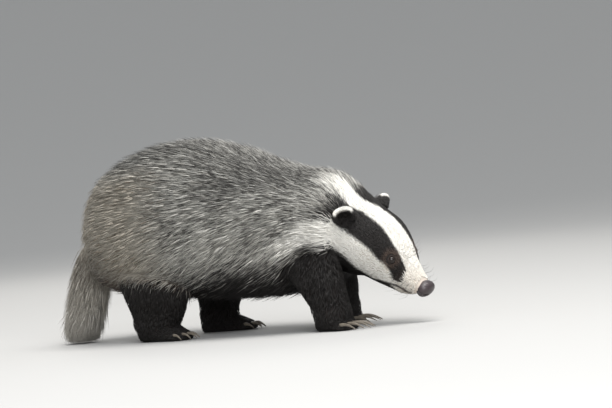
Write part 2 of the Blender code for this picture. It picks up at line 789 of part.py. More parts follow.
def move_origin(group):
    """Sets the whole animal with its origin on the floor under its middle."""
    corners = [thing.matrix_world @ v.co for thing in group.objects for v in thing.data.vertices]
    low = Vector(map(min, *corners)) if corners else Vector()
    high = Vector(map(max, *corners))
    middle = Vector(((low.x + high.x) / 2, (low.y + high.y) / 2, low.z))
    for thing in group.objects:
        thing.data.transform(Matrix.Translation(-middle))
    print("moved by", tuple(round(-c, 5) for c in middle))


def main():
    clear_scene()
    badger = new_collection("badger")
    cutters = new_collection("cutters", hidden=True)
    torso = make_trunk(badger)
    neck = make_neck(badger)
    head = make_head(badger)
    tail = make_tail(badger, TAIL_CORE)
    tail_coat = make_tail(cutters, 1.0)
    skins = {torso: surface_of(torso), neck: neck_wall(), tail: surface_of(tail)}

    head_grown = grown_copy(head, GAP, cutters, "head_grown")
    torso_grown = grown_copy(torso, GAP, cutters, "torso_grown")
    neck_grown = grown_copy(neck, GAP, cutters, "neck_grown")
    tail_grown = grown_copy(tail_coat, GAP, cutters, "tail_grown")
    legs_grown = []
    for name in LEGS:
        leg = make_leg(name, badger)
        boolean(leg, "DIFFERENCE", [torso_grown, neck_grown, head_grown], remove=False)
        legs_grown.append(grown_copy(make_leg(name, cutters), GAP, cutters, "leg_grown"))
        floor = half_space("below_wrist", (-1, -1, -1), (1, 1, WRIST_HEIGHT + GAP / 2), cutters)
        boolean(leg, "DIFFERENCE", [floor])
        paw = make_paw(name, badger, cutters)
        above = half_space("above_wrist", (-1, -1, WRIST_HEIGHT - GAP / 2), (1, 1, 1), cutters)
        boolean(paw, "DIFFERENCE", [above])
        _, foot = foot_frame(name)
        sockets = []
        for number, toe in enumerate(toe_places(foot), 1):
            make_claw(name, number, toe, badger)
            sockets.append(make_claw(name, f"{number}_socket", toe, cutters, GAP))
        boolean(paw, "DIFFERENCE", sockets)

    nose = make_nose(badger, cutters)
    make_face(head, cutters)
    sockets = [grown_copy(nose, GAP, cutters, "nose_socket")]
    ears_grown = []
    for side, word in ((1, "left"), (-1, "right")):
        centre, _ = eye_frame(side)
        turn = head_matrix().to_3x3()
        ellipsoid(f"eye_{word}", centre, [EYE_RADIUS] * 3, turn, badger, 12, 8, "eye")
        sockets.append(ellipsoid("eye_socket", centre, [EYE_RADIUS + GAP] * 3, turn, cutters, 12, 8))
        ear = make_ear(side, f"ear_{word}", badger, cutters)
        ears_grown.append(grown_copy(ear, GAP, cutters, "ear_grown"))
        boolean(ear, "DIFFERENCE", [head_grown, neck_grown], remove=False)
    boolean(head, "DIFFERENCE", sockets, merge=MERGE)

    coats = (
        (torso, trunk_roots, TRUNK_LOCK, lie_of_coat),
        (neck, neck_roots, NECK_LOCK, lie_of_coat),
        (tail, tail_roots, TAIL_LOCK, lie_of_tail),
    )
    for thing, find_roots, size, lie in coats:
        draw = random.Random(SEEDS[thing.name])
        locks = []
        for root in find_roots(draw):
            length, *others = varied(size, draw)
            if thing is tail:
                length = min(length, root.z - TAIL_TIP_HEIGHT)
            locks.append(make_lock(root, skins[thing], (length, *others), lie, cutters))
        boolean(thing, "UNION", locks)
    before = half_space("before_seam", (NECK_SEAM_X, -1, -1), (1, 1, 1), cutters)
    boolean(torso, "DIFFERENCE", [before, tail_grown, *legs_grown], remove=False)
    behind = half_space("behind_seam", (-1, -1, -1), (NECK_SEAM_X + GAP, 1, 1), cutters)
    boolean(neck, "DIFFERENCE", [behind, head_grown, *legs_grown, *ears_grown], remove=False)
    boolean(tail, "DIFFERENCE", [torso_grown], remove=False)
    move_origin(badger)


main()
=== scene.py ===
# %% [markdown]
# # A life-size badger
# A museum badger is a body under a coat. The body gives the pose and the coat gives the look, so
# this lesson makes them in that order: one smooth skin for the whole animal, then tufts of hair
# that grow from it, then the wet and horny parts, which are the eyes, nose and claws.
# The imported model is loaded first, because it says where everything goes.

# %% Load the frame
import math

import bmesh
import bpy
import numpy as np
from mathutils import Matrix, Vector, noise
from mathutils.bvhtree import BVHTree


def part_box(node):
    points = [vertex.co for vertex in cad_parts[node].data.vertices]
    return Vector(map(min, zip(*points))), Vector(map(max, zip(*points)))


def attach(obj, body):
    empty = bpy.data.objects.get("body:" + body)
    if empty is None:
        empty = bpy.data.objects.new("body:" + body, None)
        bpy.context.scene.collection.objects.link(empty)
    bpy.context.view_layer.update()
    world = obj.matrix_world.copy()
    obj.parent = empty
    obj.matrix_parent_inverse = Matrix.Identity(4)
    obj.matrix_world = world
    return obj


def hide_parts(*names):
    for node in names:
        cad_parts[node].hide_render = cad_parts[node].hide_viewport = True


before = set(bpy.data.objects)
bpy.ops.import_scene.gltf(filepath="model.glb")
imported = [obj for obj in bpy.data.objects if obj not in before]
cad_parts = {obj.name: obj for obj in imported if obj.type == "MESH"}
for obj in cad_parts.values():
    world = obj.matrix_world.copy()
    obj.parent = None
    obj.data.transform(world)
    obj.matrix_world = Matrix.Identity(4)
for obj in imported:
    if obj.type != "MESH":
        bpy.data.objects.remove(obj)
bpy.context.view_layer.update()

# %% [markdown]
# ## The head's own frame
# A badger's head hangs low in front of its shoulders, pitched down by about fifty degrees and
# rolled a little. Places on the head are easier to give in a frame of its own, with the nose along
# +X, so one matrix turns them into the animal's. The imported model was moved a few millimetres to
# put its origin under its middle, and the centre of an eye tells by how much.

# %% Head frame and eye places
HEAD_CENTRE = Vector((0.1816, 0.0, 0.146))
HEAD_PITCH = math.radians(51.9)
HEAD_YAW = math.radians(1.7)
HEAD_ROLL = math.radians(12.5)
EYE_PLACE = Vector((0.0755, 0.0305, 0.0015))
EYE_RADIUS = 0.0052
EYE_SINK = 0.0030
NOSE_PLACE = Vector((0.1262, 0.0, -0.0068))
NOSE_SIZE = Vector((0.0104, 0.0148, 0.0116))
SIDES = {"left": 1, "right": -1}

HEAD = (
    Matrix.Translation(HEAD_CENTRE)
    @ Matrix.Rotation(HEAD_YAW, 4, "Z")
    @ Matrix.Rotation(HEAD_PITCH, 4, "Y")
    @ Matrix.Rotation(HEAD_ROLL, 4, "X")
)
HEAD_TURN = HEAD.to_3x3()


def eye_frame(side):
    """The eye's centre and the direction that it looks."""
    look = Vector((0.42, 0.70 * side, 0.58)).normalized()
    centre = Vector((EYE_PLACE.x, EYE_PLACE.y * side, EYE_PLACE.z)) - look * EYE_SINK
    return HEAD @ centre, (HEAD_TURN @ look).normalized()


low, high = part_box("eye_left")
MOVED = (Vector(low) + Vector(high)) / 2 - eye_frame(1)[0]
print("the packed model stands at", [round(v, 5) for v in MOVED])

# %% [markdown]
# ## Camera
# The animal is seen from its right side and a little from the front, almost level, through a long
# lens. The real camera was rolled by five degrees, which shows as ground that rises to the left,
# so the camera here is rolled too.

# %% Place the camera
CAMERA_AZIMUTH = math.radians(25)
CAMERA_RISE = math.radians(1.5)
CAMERA_ROLL = math.radians(5.13)
CAMERA_DISTANCE = 4.47
AIM_ACROSS = 0.0885
AIM_HEIGHT = 0.162

across = Vector((math.cos(CAMERA_AZIMUTH), math.sin(CAMERA_AZIMUTH), 0))
outward = Vector((across.y, -across.x, 0))
back = outward * math.cos(CAMERA_RISE) + Vector((0, 0, math.sin(CAMERA_RISE)))
level_up = back.cross(across)
right = across * math.cos(CAMERA_ROLL) - level_up * math.sin(CAMERA_ROLL)
upward = across * math.sin(CAMERA_ROLL) + level_up * math.cos(CAMERA_ROLL)
target = across * AIM_ACROSS + Vector((0, 0, AIM_HEIGHT)) + MOVED

camera = bpy.data.objects.new("camera", bpy.data.cameras.new("camera"))
bpy.context.scene.collection.objects.link(camera)
camera.data.lens = 200
camera.data.sensor_width = 36
camera.data.clip_start = 0.1
turn = Matrix((right, upward, back)).transposed().to_4x4()
camera.matrix_world = Matrix.Translation(target + back * CAMERA_DISTANCE) @ turn
bpy.context.scene.camera = camera
print("camera at", [round(v, 3) for v in camera.location])

# %% [markdown]
# ## Floor and light
# The badger stands on a plain pale floor: a wide bowl, spun from a profile, that is level under the
# animal and rises far behind it like a backdrop, so no hard horizon shows. Woodland light comes
# from the whole sky, with a brighter patch above, so a large soft lamp hangs overhead towards the
# front, a weaker one fills the side that the camera sees, and a pale world lights the rest. The
# Standard view keeps black hair black.

# %% Build the floor, lamps and world
FLOOR_FLAT = 2.5
FLOOR_RADIUS = 9.0
FLOOR_RISE = 3.2
FLOOR_STEPS = 24


def plain_material(name, colour, roughness):
    """A material with one colour, whose shader is changed further where it is used."""
    made = bpy.data.materials.new(name)
    made.use_nodes = True
    shader = made.node_tree.nodes["Principled BSDF"]
    shader.inputs["Base Color"].default_value = (*colour, 1.0)
    shader.inputs["Roughness"].default_value = roughness
    return made


bm = bmesh.new()
profile = [bm.verts.new((0, 0, 0))]
for k in range(FLOOR_STEPS + 1):
    share = k / FLOOR_STEPS
    reach = FLOOR_FLAT + (FLOOR_RADIUS - FLOOR_FLAT) * share
    profile.append(bm.verts.new((reach, 0, FLOOR_RISE * share**2.2)))
edges = [bm.edges.new(pair) for pair in zip(profile, profile[1:])]
spun = {"cent": (0, 0, 0), "axis": (0, 0, 1), "angle": 2 * math.pi, "steps": 96}
bmesh.ops.spin(bm, geom=profile + edges, use_merge=True, **spun)
bmesh.ops.remove_doubles(bm, verts=bm.verts, dist=1e-5)
bmesh.ops.recalc_face_normals(bm, faces=bm.faces)
mesh = bpy.data.meshes.new("floor")
bm.to_mesh(mesh)
bm.free()
mesh.shade_smooth()
floor = bpy.data.objects.new("floor", mesh)
bpy.context.scene.collection.objects.link(floor)
mesh.materials.append(plain_material("pale_floor", (0.46, 0.455, 0.445), 0.9))
bpy.context.scene.view_settings.view_transform = "Standard"


def soft_lamp(name, place, aim, size, power, colour=(1.0, 1.0, 1.0)):
    """A square area lamp that faces a point."""
    data = bpy.data.lights.new(name, "AREA")
    data.shape = "SQUARE"
    data.size = size
    data.energy = power
    data.color = colour
    lamp = bpy.data.objects.new(name, data)
    lamp.location = place
    lamp.rotation_euler = (Vector(place) - Vector(aim)).to_track_quat("Z", "Y").to_euler()
    bpy.context.scene.collection.objects.link(lamp)
    return lamp


MIDDLE = (0.0, 0.0, 0.13)
soft_lamp("sky_lamp", (0.5, -0.3, 2.4), MIDDLE, 1.8, 70, (1.0, 0.985, 0.96))
soft_lamp("side_lamp", (1.4, -2.2, 1.3), MIDDLE, 1.5, 48, (0.97, 0.985, 1.0))
soft_lamp("rim_lamp", (-1.2, 1.8, 1.6), MIDDLE, 1.0, 18, (1.0, 0.97, 0.92))

world = bpy.data.worlds.new("pale_sky")
bpy.context.scene.world = world
world.use_nodes = True
world.node_tree.nodes["Background"].inputs["Color"].default_value = (0.80, 0.83, 0.86, 1.0)
world.node_tree.nodes["Background"].inputs["Strength"].default_value = 0.70

# %% [markdown]
# ## The body's measures
# The body is described by cross-sections, like the formers of a boat. The trunk has upright ones
# from rump to neck, the head's are in its own frame, and each leg and the tail is a path of points
# with a thickness. The numbers are those of the coat's surface, and the skin lies inside them by
# the depth of the hair.

# %% Tables of sections
COAT_DEPTH = 0.012
NECK_SEAM_X = 0.110

# x, top, bottom, half width
TRUNK = [
    (-0.214, 0.158, 0.118, 0.022),
    (-0.210, 0.178, 0.093, 0.048),
    (-0.198, 0.202, 0.076, 0.070),
    (-0.180, 0.222, 0.066, 0.088),
    (-0.155, 0.238, 0.059, 0.101),
    (-0.120, 0.252, 0.055, 0.109),
    (-0.080, 0.259, 0.051, 0.113),
    (-0.040, 0.257, 0.049, 0.113),
    (0.000, 0.248, 0.046, 0.110),
    (0.040, 0.232, 0.045, 0.103),
    (0.080, 0.217, 0.047, 0.094),
    (NECK_SEAM_X, 0.210, 0.051, 0.086),
]
# top x, top z, bottom x, bottom z, half width
NECK = [
    (NECK_SEAM_X, 0.210, NECK_SEAM_X, 0.051, 0.086),
    (0.131, 0.208, 0.124, 0.053, 0.079),
    (0.152, 0.196, 0.135, 0.058, 0.071),
]
# in the head's frame: top x, top z, low x, low z, half width
SKULL = [
    (-0.024, 0.0085, 0.040, -0.0800, 0.0640),
    (-0.006, 0.0125, 0.048, -0.0730, 0.0605),
    (0.010, 0.0150, 0.054, -0.0650, 0.0575),
    (0.025, 0.0170, 0.058, -0.0560, 0.0545),
    (0.040, 0.0175, 0.064, -0.0515, 0.0505),
    (0.055, 0.0160, 0.072, -0.0490, 0.0450),
    (0.070, 0.0130, 0.081, -0.0460, 0.0380),
    (0.083, 0.0085, 0.090, -0.0425, 0.0310),
    (0.095, 0.0045, 0.099, -0.0385, 0.0260),
    (0.107, 0.0020, 0.109, -0.0345, 0.0230),
    (0.118, 0.0010, 0.115, -0.0285, 0.0188),
    (0.126, 0.0008, 0.121, -0.0225, 0.0138),
    (0.131, -0.0005, 0.125, -0.0170, 0.0090),
]
WIDEST = 0.40
ROUNDNESS = 2.3
# x, y, z, half length, half width
LEGS = {
    "hind_right": [
        (-0.112, -0.046, 0.130, 0.034, 0.026),
        (-0.106, -0.057, 0.086, 0.047, 0.031),
        (-0.101, -0.062, 0.058, 0.044, 0.029),
        (-0.100, -0.061, 0.038, 0.038, 0.025),
        (-0.105, -0.060, 0.018, 0.029, 0.022),
        (-0.105, -0.060, 0.008, 0.022, 0.018),
    ],
    "hind_left": [
        (-0.085, 0.046, 0.130, 0.034, 0.026),
        (-0.075, 0.057, 0.086, 0.043, 0.031),
        (-0.069, 0.062, 0.058, 0.035, 0.029),
        (-0.071, 0.061, 0.038, 0.028, 0.025),
        (-0.073, 0.060, 0.018, 0.024, 0.022),
        (-0.073, 0.060, 0.008, 0.019, 0.018),
    ],
    "front_right": [
        (0.105, -0.038, 0.130, 0.032, 0.024),
        (0.122, -0.048, 0.084, 0.037, 0.029),
        (0.136, -0.055, 0.054, 0.031, 0.028),
        (0.145, -0.057, 0.034, 0.026, 0.025),
        (0.149, -0.057, 0.016, 0.023, 0.023),
        (0.149, -0.057, 0.008, 0.018, 0.018),
    ],
    "front_left": [
        (0.088, 0.038, 0.130, 0.032, 0.024),
        (0.096, 0.050, 0.084, 0.037, 0.029),
        (0.103, 0.057, 0.054, 0.031, 0.028),
        (0.107, 0.058, 0.034, 0.026, 0.025),
        (0.109, 0.058, 0.016, 0.023, 0.023),
        (0.109, 0.058, 0.008, 0.018, 0.018),
    ],
}
FRONT_FOOT = {"reach": 0.030, "half_width": 0.024, "toe": 0.0066, "claw": 0.026, "turn": 6}
HIND_FOOT = {"reach": 0.052, "half_width": 0.021, "toe": 0.0062, "claw": 0.015, "turn": 10}
TOES = 5
# x, y, z, half thickness
TAIL = [
    (-0.186, 0.000, 0.164, 0.020),
    (-0.205, -0.002, 0.142, 0.026),
    (-0.217, -0.005, 0.112, 0.028),
    (-0.225, -0.008, 0.080, 0.029),
    (-0.233, -0.010, 0.050, 0.026),
    (-0.238, -0.011, 0.030, 0.018),
    (-0.241, -0.011, 0.018, 0.008),
]

# %% [markdown]
# ## From sections to forms
# A smooth curve through the rows of a table gives as many sections as a form needs. Each section
# is a circle whose points are moved onto a rounded shape, and neighbouring circles are bridged.
# Every form remembers its name on its faces, because hair grows differently on each.

# %% Helpers for lofted forms
PAWS = [f"paw_{name}" for name in LEGS]
FORMS = ["trunk", "neck", "head", "tail", *LEGS, *PAWS]
FORM_ID = {name: k for k, name in enumerate(FORMS)}


def resampled(table, count):
    """The rows of a table at evenly spaced places along it, on a smooth curve through them."""
    rows = np.array(table, float)
    steps = np.linalg.norm(np.diff(rows, axis=0), axis=1)
    along = np.concatenate([[0.0], np.cumsum(steps)])
    slopes = np.gradient(rows, along, axis=0)
    out = []
    for t in np.linspace(0.0, along[-1], count):
        i = min(int(np.searchsorted(along, t, "right")) - 1, len(rows) - 2)
        span = along[i + 1] - along[i]
        u = (t - along[i]) / span
        out.append(
            (2 * u**3 - 3 * u**2 + 1) * rows[i]
            + (u**3 - 2 * u**2 + u) * span * slopes[i]
            + (3 * u**2 - 2 * u**3) * rows[i + 1]
            + (u**3 - u**2) * span * slopes[i + 1]
        )
    return out


def section(centre, side, up, half_width, above, below, sides, power=ROUNDNESS):
    """A closed cross-section whose top and bottom halves may differ in height."""
    points = []
    for k in range(sides):
        turn = 2 * math.pi * k / sides
        reach = math.copysign(abs(math.sin(turn)) ** (2 / power), math.sin(turn))
        rise = math.copysign(abs(math.cos(turn)) ** (2 / power), math.cos(turn))
        height = above if rise > 0 else below
        points.append(centre + side * (reach * half_width) + up * (rise * height))
    return points


def ring_points(middle, first, second, count):
    """Points of an oval round a middle, from its two half axes."""
    turns = [2 * math.pi * k / count for k in range(count)]
    return [middle + first * math.cos(a) + second * math.sin(a) for a in turns]


def bridged(bm, rings, joined=False):
    """Circles laid on rings of points and bridged in turn. The ends are filled, or joined."""
    loops = []
    for ring in rings:
        circle = bmesh.ops.create_circle(bm, segments=len(ring), radius=1.0)["verts"]
        for v, p in zip(circle, ring):
            v.co = p
        loops.append(list(dict.fromkeys(edge for v in circle for edge in v.link_edges)))
    followers = loops[1:] + loops[:1] if joined else loops[1:]
    for loop, after in zip(loops, followers):
        bmesh.ops.bridge_loops(bm, edges=loop + after)
    if not joined:
        for loop in (loops[0], loops[-1]):
            bmesh.ops.edgeloop_fill(bm, edges=loop)


def loft(bm, rings, form):
    """Adds a closed form through rings of points, with its name on its faces."""
    layer = bm.faces.layers.int.get("form") or bm.faces.layers.int.new("form")
    known = set(bm.faces)
    bridged(bm, rings)
    for face in bm.faces:
        if face not in known:
            face[layer] = FORM_ID[form]


def smoothstep(low, high, value):
    """0 below low, 1 above high, and an easy slope between; also from high to low."""
    t = np.clip((value - low) / (high - low), 0.0, 1.0)
    return t * t * (3 - 2 * t)


# %% [markdown]
# ## Trunk, neck and head
# The trunk's sections stand upright. The neck's turn from upright to the tilt of the back of the
# head, which is why each is given by a top point and a bottom point. On the head the hair is only
# a millimetre or two deep, but it grows longer towards the neck, so the head's inset grows too.

# %% Sections of trunk, neck and head
FACE_DEPTH = 0.0016
NECK_DEPTH = 0.009
SIDE_WEIGHT = 0.05


def trunk_rings(count, sides):
    """Upright sections of the trunk under its coat, from rump to neck."""
    rings = []
    for x, top, bottom, half in resampled(TRUNK, count):
        low, high = bottom + COAT_DEPTH, top - COAT_DEPTH
        wide = low + 0.46 * (high - low)
        shift = COAT_DEPTH * max(0.0, min(1.0, (-0.17 - x) / 0.044))
        middle = Vector((x + shift, 0, wide))
        half = max(half - COAT_DEPTH, 0.006)
        rings.append(
            section(middle, Vector((0, 1, 0)), Vector((0, 0, 1)), half, high - wide, wide - low, sides)
        )
    return rings


def head_section(row, sides, inset):
    """One section of the head, in the animal's frame."""
    top_x, top_z, low_x, low_z, half = row
    top = HEAD @ Vector((top_x, 0, top_z))
    under = HEAD @ Vector((low_x, 0, low_z))
    up = (top - under).normalized()
    wide = top.lerp(under, WIDEST)
    side = HEAD_TURN @ Vector((0, 1, 0))
    above, below = (top - wide).length - inset, (wide - under).length - inset
    return section(wide, side, up, half - inset, above, below, sides)


def head_depth(x):
    """How deep the hair is on the head, at a place forward of the ears."""
    return FACE_DEPTH + (NECK_DEPTH - FACE_DEPTH) * float(smoothstep(0.030, -0.024, x))


def neck_rings(count, sides):
    """The neck's sections, from the upright seam of the trunk to the tilted back of the head."""
    back = head_section(SKULL[0], sides, 0.0)
    top, under = back[0], back[sides // 2]
    side = HEAD_TURN @ Vector((0, 1, 0))
    rows = [(a, 0.0, b, c, 0.0, d, 0.0, SIDE_WEIGHT, 0.0, half) for a, b, c, d, half in NECK]
    rows.append((*top, *under, *(side * SIDE_WEIGHT), SKULL[0][4]))
    rings = []
    for k, row in enumerate(resampled(rows, count)):
        top, under = Vector(row[0:3]), Vector(row[3:6])
        up = (top - under).normalized()
        share = k / (count - 1)
        wide = top.lerp(under, 0.54 + (WIDEST - 0.54) * share)
        side = Vector(row[6:9])
        side = (side - up * side.dot(up)).normalized()
        depth = COAT_DEPTH + (NECK_DEPTH - COAT_DEPTH) * share
        above, below = (top - wide).length - depth, (wide - under).length - depth
        rings.append(section(wide, side, up, row[9] - depth, above, below, sides))
    return rings


body = bmesh.new()
trunk = trunk_rings(40, 48)
trunk[-1] = [p + Vector((0.004, 0, 0)) for p in trunk[-1]]
loft(body, trunk, "trunk")
loft(body, neck_rings(14, 48), "neck")
skull = [head_section(row, 48, head_depth(row[0])) for row in resampled(SKULL, 40)]
skull[0] = [p + HEAD_TURN @ Vector((-0.004, 0, 0)) for p in skull[0]]
loft(body, skull, "head")
print("trunk, neck and head:", len(body.faces), "faces")

# %% [markdown]
# ## Legs, paws and tail
# A badger's legs are short and thick, and its feet are broad, with five toes in a row. Front
# feet have long digging claws and hind feet are longer in the sole. The tail is thin under its
# hair, so its form is only half as thick as its coat.

# %% Forms of legs, paws and tail
LEG_DEPTH = 0.0035
PAW_DEPTH = 0.0012
TAIL_CORE = 0.5
FLAT_SINK = 0.002


def foot_frame(name):
    """The place of a foot's ankle on the floor, and its turn about Z."""
    x, y = LEGS[name][4][:2]
    foot = FRONT_FOOT if "front" in name else HIND_FOOT
    turn = Matrix.Rotation(math.radians(foot["turn"]) * (1 if y > 0 else -1), 4, "Z")
    return Matrix.Translation((x, y, 0)) @ turn, foot


def toe_places(foot):
    """For each toe of a foot, in the foot's frame: where it starts, where it ends, its size."""
    toes = []
    for k in range(TOES):
        spread = 2 * k / (TOES - 1) - 1
        size = foot["toe"] * (1.0 - 0.10 * spread**2)
        reach = foot["reach"] * (1.0 - 0.20 * spread**2)
        width = foot["half_width"] - size * 0.7
        start = Vector((reach - 0.022, spread * width * 0.80, 0.0115))
        end = Vector((reach - 0.004, spread * width, size * 0.95))
        toes.append((start, end, size))
    return toes


def add_ellipsoid(bm, place, size, turn, form, segments=20, rings=12):
    """Adds a stretched and turned sphere to a form."""
    layer = bm.faces.layers.int.get("form")
    shape = Matrix.Translation(place) @ turn.to_4x4() @ Matrix.Diagonal((*size, 1.0))
    ball = bmesh.ops.create_uvsphere(bm, u_segments=segments, v_segments=rings, radius=1.0, matrix=shape)
    for face in dict.fromkeys(face for v in ball["verts"] for face in v.link_faces):
        face[layer] = FORM_ID[form]


for name, path in LEGS.items():
    rings = []
    for x, y, z, length, width in resampled(path, 16):
        depth = LEG_DEPTH if z > 0.03 else PAW_DEPTH
        sizes = width - depth, length - depth, length - depth
        rings.append(section(Vector((x, y, z)), Vector((0, 1, 0)), Vector((1, 0, 0)), *sizes, 24))
    loft(body, rings, name)
    ground, foot = foot_frame(name)
    side = ground.to_3x3() @ Vector((0, 1, 0))
    rows = [
        (-0.022, 0.016, 0.012),
        (-0.014, 0.026, 0.019),
        (0.004, 0.028, foot["half_width"]),
        (foot["reach"] * 0.45, 0.023, foot["half_width"]),
        (foot["reach"] - 0.012, 0.017, foot["half_width"] * 0.93),
        (foot["reach"] - 0.003, 0.012, foot["half_width"] * 0.72),
    ]
    rings = []
    for along, top, half in resampled(rows, 10):
        tall = top / 2 - PAW_DEPTH / 2
        middle = ground @ Vector((along, 0, tall - FLAT_SINK))
        rings.append(section(middle, side, Vector((0, 0, 1)), half - PAW_DEPTH, tall, tall, 24))
    loft(body, rings, f"paw_{name}")
    for start, end, size in toe_places(foot):
        lie = ground.to_3x3() @ (end - start).to_track_quat("X", "Z").to_matrix()
        half = (end - start).length / 2 + size * 0.8
        middle = ground @ ((start + end) / 2 - Vector((0, 0, FLAT_SINK * 0.5)))
        thick = size - PAW_DEPTH * 0.5
        add_ellipsoid(body, middle, (half, thick, thick), lie, f"paw_{name}")

tail_rows = resampled(TAIL, 20)
rings = []
for k, (x, y, z, thick) in enumerate(tail_rows):
    before, after = tail_rows[max(k - 1, 0)], tail_rows[min(k + 1, len(tail_rows) - 1)]
    along = Vector(after[:3] - before[:3]).normalized()
    side = Vector((0, 1, 0))
    side = (side - along * side.dot(along)).normalized()
    half = thick * TAIL_CORE
    rings.append(section(Vector((x, y, z)), side, along.cross(side), half, half, half, 20, 2.0))
loft(body, rings, "tail")
form_layer = body.faces.layers.int.get("form")
form_of_face = np.array([face[form_layer] for face in body.faces])
form_tree = BVHTree.FromBMesh(body)
print("all forms:", len(body.faces), "faces")

# %% [markdown]
# ## One skin
# The forms pass through each other like clay pressed together. A voxel remesh fuses them into one
# surface of even squares, and a few rounds of smoothing take the marks of the joints away. The
# head needs finer squares than the flank, so its faces are divided once more.

# %% Fuse, smooth and refine the skin
VOXEL = 0.0021
SMOOTH_ROUNDS = 7
HEAD_ROUNDS = 3
REFINE_FROM = 0.004
REFINE_ABOVE = -0.075


def new_object(name, bm):
    """Turns a bmesh into a linked object whose faces point out."""
    bmesh.ops.recalc_face_normals(bm, faces=bm.faces)
    mesh = bpy.data.meshes.new(name)
    bm.to_mesh(mesh)
    bm.free()
    thing = bpy.data.objects.new(name, mesh)
    bpy.context.scene.collection.objects.link(thing)
    return thing


def smoothed(bm, verts, rounds):
    """Moves points towards the middle of their neighbours, a few times."""
    axes = {f"use_axis_{axis}": True for axis in "xyz"}
    for _ in range(rounds):
        bmesh.ops.smooth_vert(bm, verts=verts, factor=0.5, **axes)


def apply_modifiers(thing):
    """Makes the result of an object's modifiers its mesh."""
    graph = bpy.context.evaluated_depsgraph_get()
    mesh = bpy.data.meshes.new_from_object(thing.evaluated_get(graph))
    thing.modifiers.clear()
    old = thing.data
    thing.data = mesh
    bpy.data.meshes.remove(old)
    mesh.name = thing.name


skin = new_object("skin", body)
remesh = skin.modifiers.new("fuse", "REMESH")
remesh.mode = "VOXEL"
remesh.voxel_size = VOXEL
apply_modifiers(skin)

bm = bmesh.new()
bm.from_mesh(skin.data)
smoothed(bm, bm.verts, SMOOTH_ROUNDS)
inward = HEAD.inverted()
fine = []
for face in bm.faces:
    spot = inward @ face.calc_center_median()
    if spot.x > REFINE_FROM and spot.z > REFINE_ABOVE:
        fine.append(face)
edges = list(dict.fromkeys(edge for face in fine for edge in face.edges))
bmesh.ops.subdivide_edges(bm, edges=edges, cuts=1, use_grid_fill=True)
bmesh.ops.triangulate(bm, faces=[face for face in bm.faces if len(face.verts) > 4])
near = [v for v in bm.verts if (inward @ v.co).x > REFINE_FROM - 0.01]
smoothed(bm, near, HEAD_ROUNDS)
bm.to_mesh(skin.data)
bm.free()
print("skin:", len(skin.data.polygons), "faces")

# %% [markdown]
# ## Ears
# A badger's ears are low and round, set wide on the back of the skull, with a cup that opens
# forwards and outwards. The right one is pricked a little more than the left. Each starts as a
# flattened ball, and its open side is pressed in by moving points, which leaves a rolled rim. A
# Boolean union then makes both one with the skin.

# %% Shape the ears and join them to the skin
# side: the ear's middle and the way its tip points, in the head's frame
EARS = {
    1: (Vector((-0.004, 0.0485, -0.004)), Vector((-0.60, 0.68, 0.40))),
    -1: (Vector((-0.006, -0.0500, 0.002)), Vector((-0.45, -0.55, 0.70))),
}
EAR_MARKS = {1: 1, -1: 2}
EAR_SIZE = Vector((0.0085, 0.0150, 0.0158))
EAR_CUP = 1.35
EAR_RIM = 0.86


def ear_frame(side):
    """The place and turn of an ear: local +X is its open side and +Z its tip."""
    spot, tip = EARS[side]
    tip = tip.normalized()
    opening = Vector((0.80, 0.60 * side, 0.0))
    opening = (opening - tip * opening.dot(tip)).normalized()
    turn = HEAD_TURN @ Matrix((opening, tip.cross(opening), tip)).transposed()
    return Matrix.Translation(HEAD @ spot) @ turn.to_4x4()


ears = []
for word, side in SIDES.items():
    bm = bmesh.new()
    bmesh.ops.create_icosphere(bm, subdivisions=5, radius=1.0)
    for v in bm.verts:
        ring = math.hypot(v.co.y, v.co.z)
        if v.co.x > 0:
            press = float(smoothstep(EAR_RIM, EAR_RIM - 0.34, ring))
            v.co.x -= EAR_CUP * press * v.co.x
    shrink = EAR_SIZE - Vector((0.0006, 0.0006, 0.0006))
    bmesh.ops.scale(bm, vec=shrink, verts=bm.verts)
    bmesh.ops.transform(bm, matrix=ear_frame(side), verts=bm.verts)
    ears.append(new_object(f"ear_form_{word}", bm))

group = bpy.data.collections.new("ear_forms")
bpy.context.scene.collection.children.link(group)
for ear in ears:
    group.objects.link(ear)
join = skin.modifiers.new("ears", "BOOLEAN")
join.operation = "UNION"
join.operand_type = "COLLECTION"
join.solver = "MANIFOLD"
join.collection = group
apply_modifiers(skin)
for ear in ears:
    bpy.data.objects.remove(ear, do_unlink=True)
bpy.data.collections.remove(group)
print("skin with ears:", len(skin.data.polygons), "faces")

# %% [markdown]
# ## Folds of the face
# Eyes and mouth are sculpted by moving the skin's points. Round each eye the skin dips into an
# almond-shaped socket, with a brow above it. The line of the mouth runs from one corner round the
# front to the other: a narrow groove with a soft lip on either side.

# %% Sculpt sockets, brows and mouth
MOUTH_HINGE = 0.095
MOUTH_SWING = math.radians(112)
MOUTH_HEIGHT = -0.0205
MOUTH_POINTS = 41


def mesh_arrays(thing):
    """The places and normals of an object's points."""
    count = len(thing.data.vertices)
    places, normals = np.empty(count * 3), np.empty(count * 3)
    thing.data.vertices.foreach_get("co", places)
    thing.data.vertices.foreach_get("normal", normals)
    return places.reshape(-1, 3), normals.reshape(-1, 3)


def skin_tree():
    bm = bmesh.new()
    bm.from_mesh(skin.data)
    tree = BVHTree.FromBMesh(bm)
    bm.free()
    return tree


def eye_axes(side):
    """The eye's centre, its look, the way to the nose along its lids, and the way to the brow."""
    centre, look = eye_frame(side)
    nose_way = (HEAD_TURN @ Vector((0.90, 0.20 * side, -0.42))).normalized()
    along = (nose_way - look * nose_way.dot(look)).normalized()
    return centre, look, along, look.cross(along) * -side


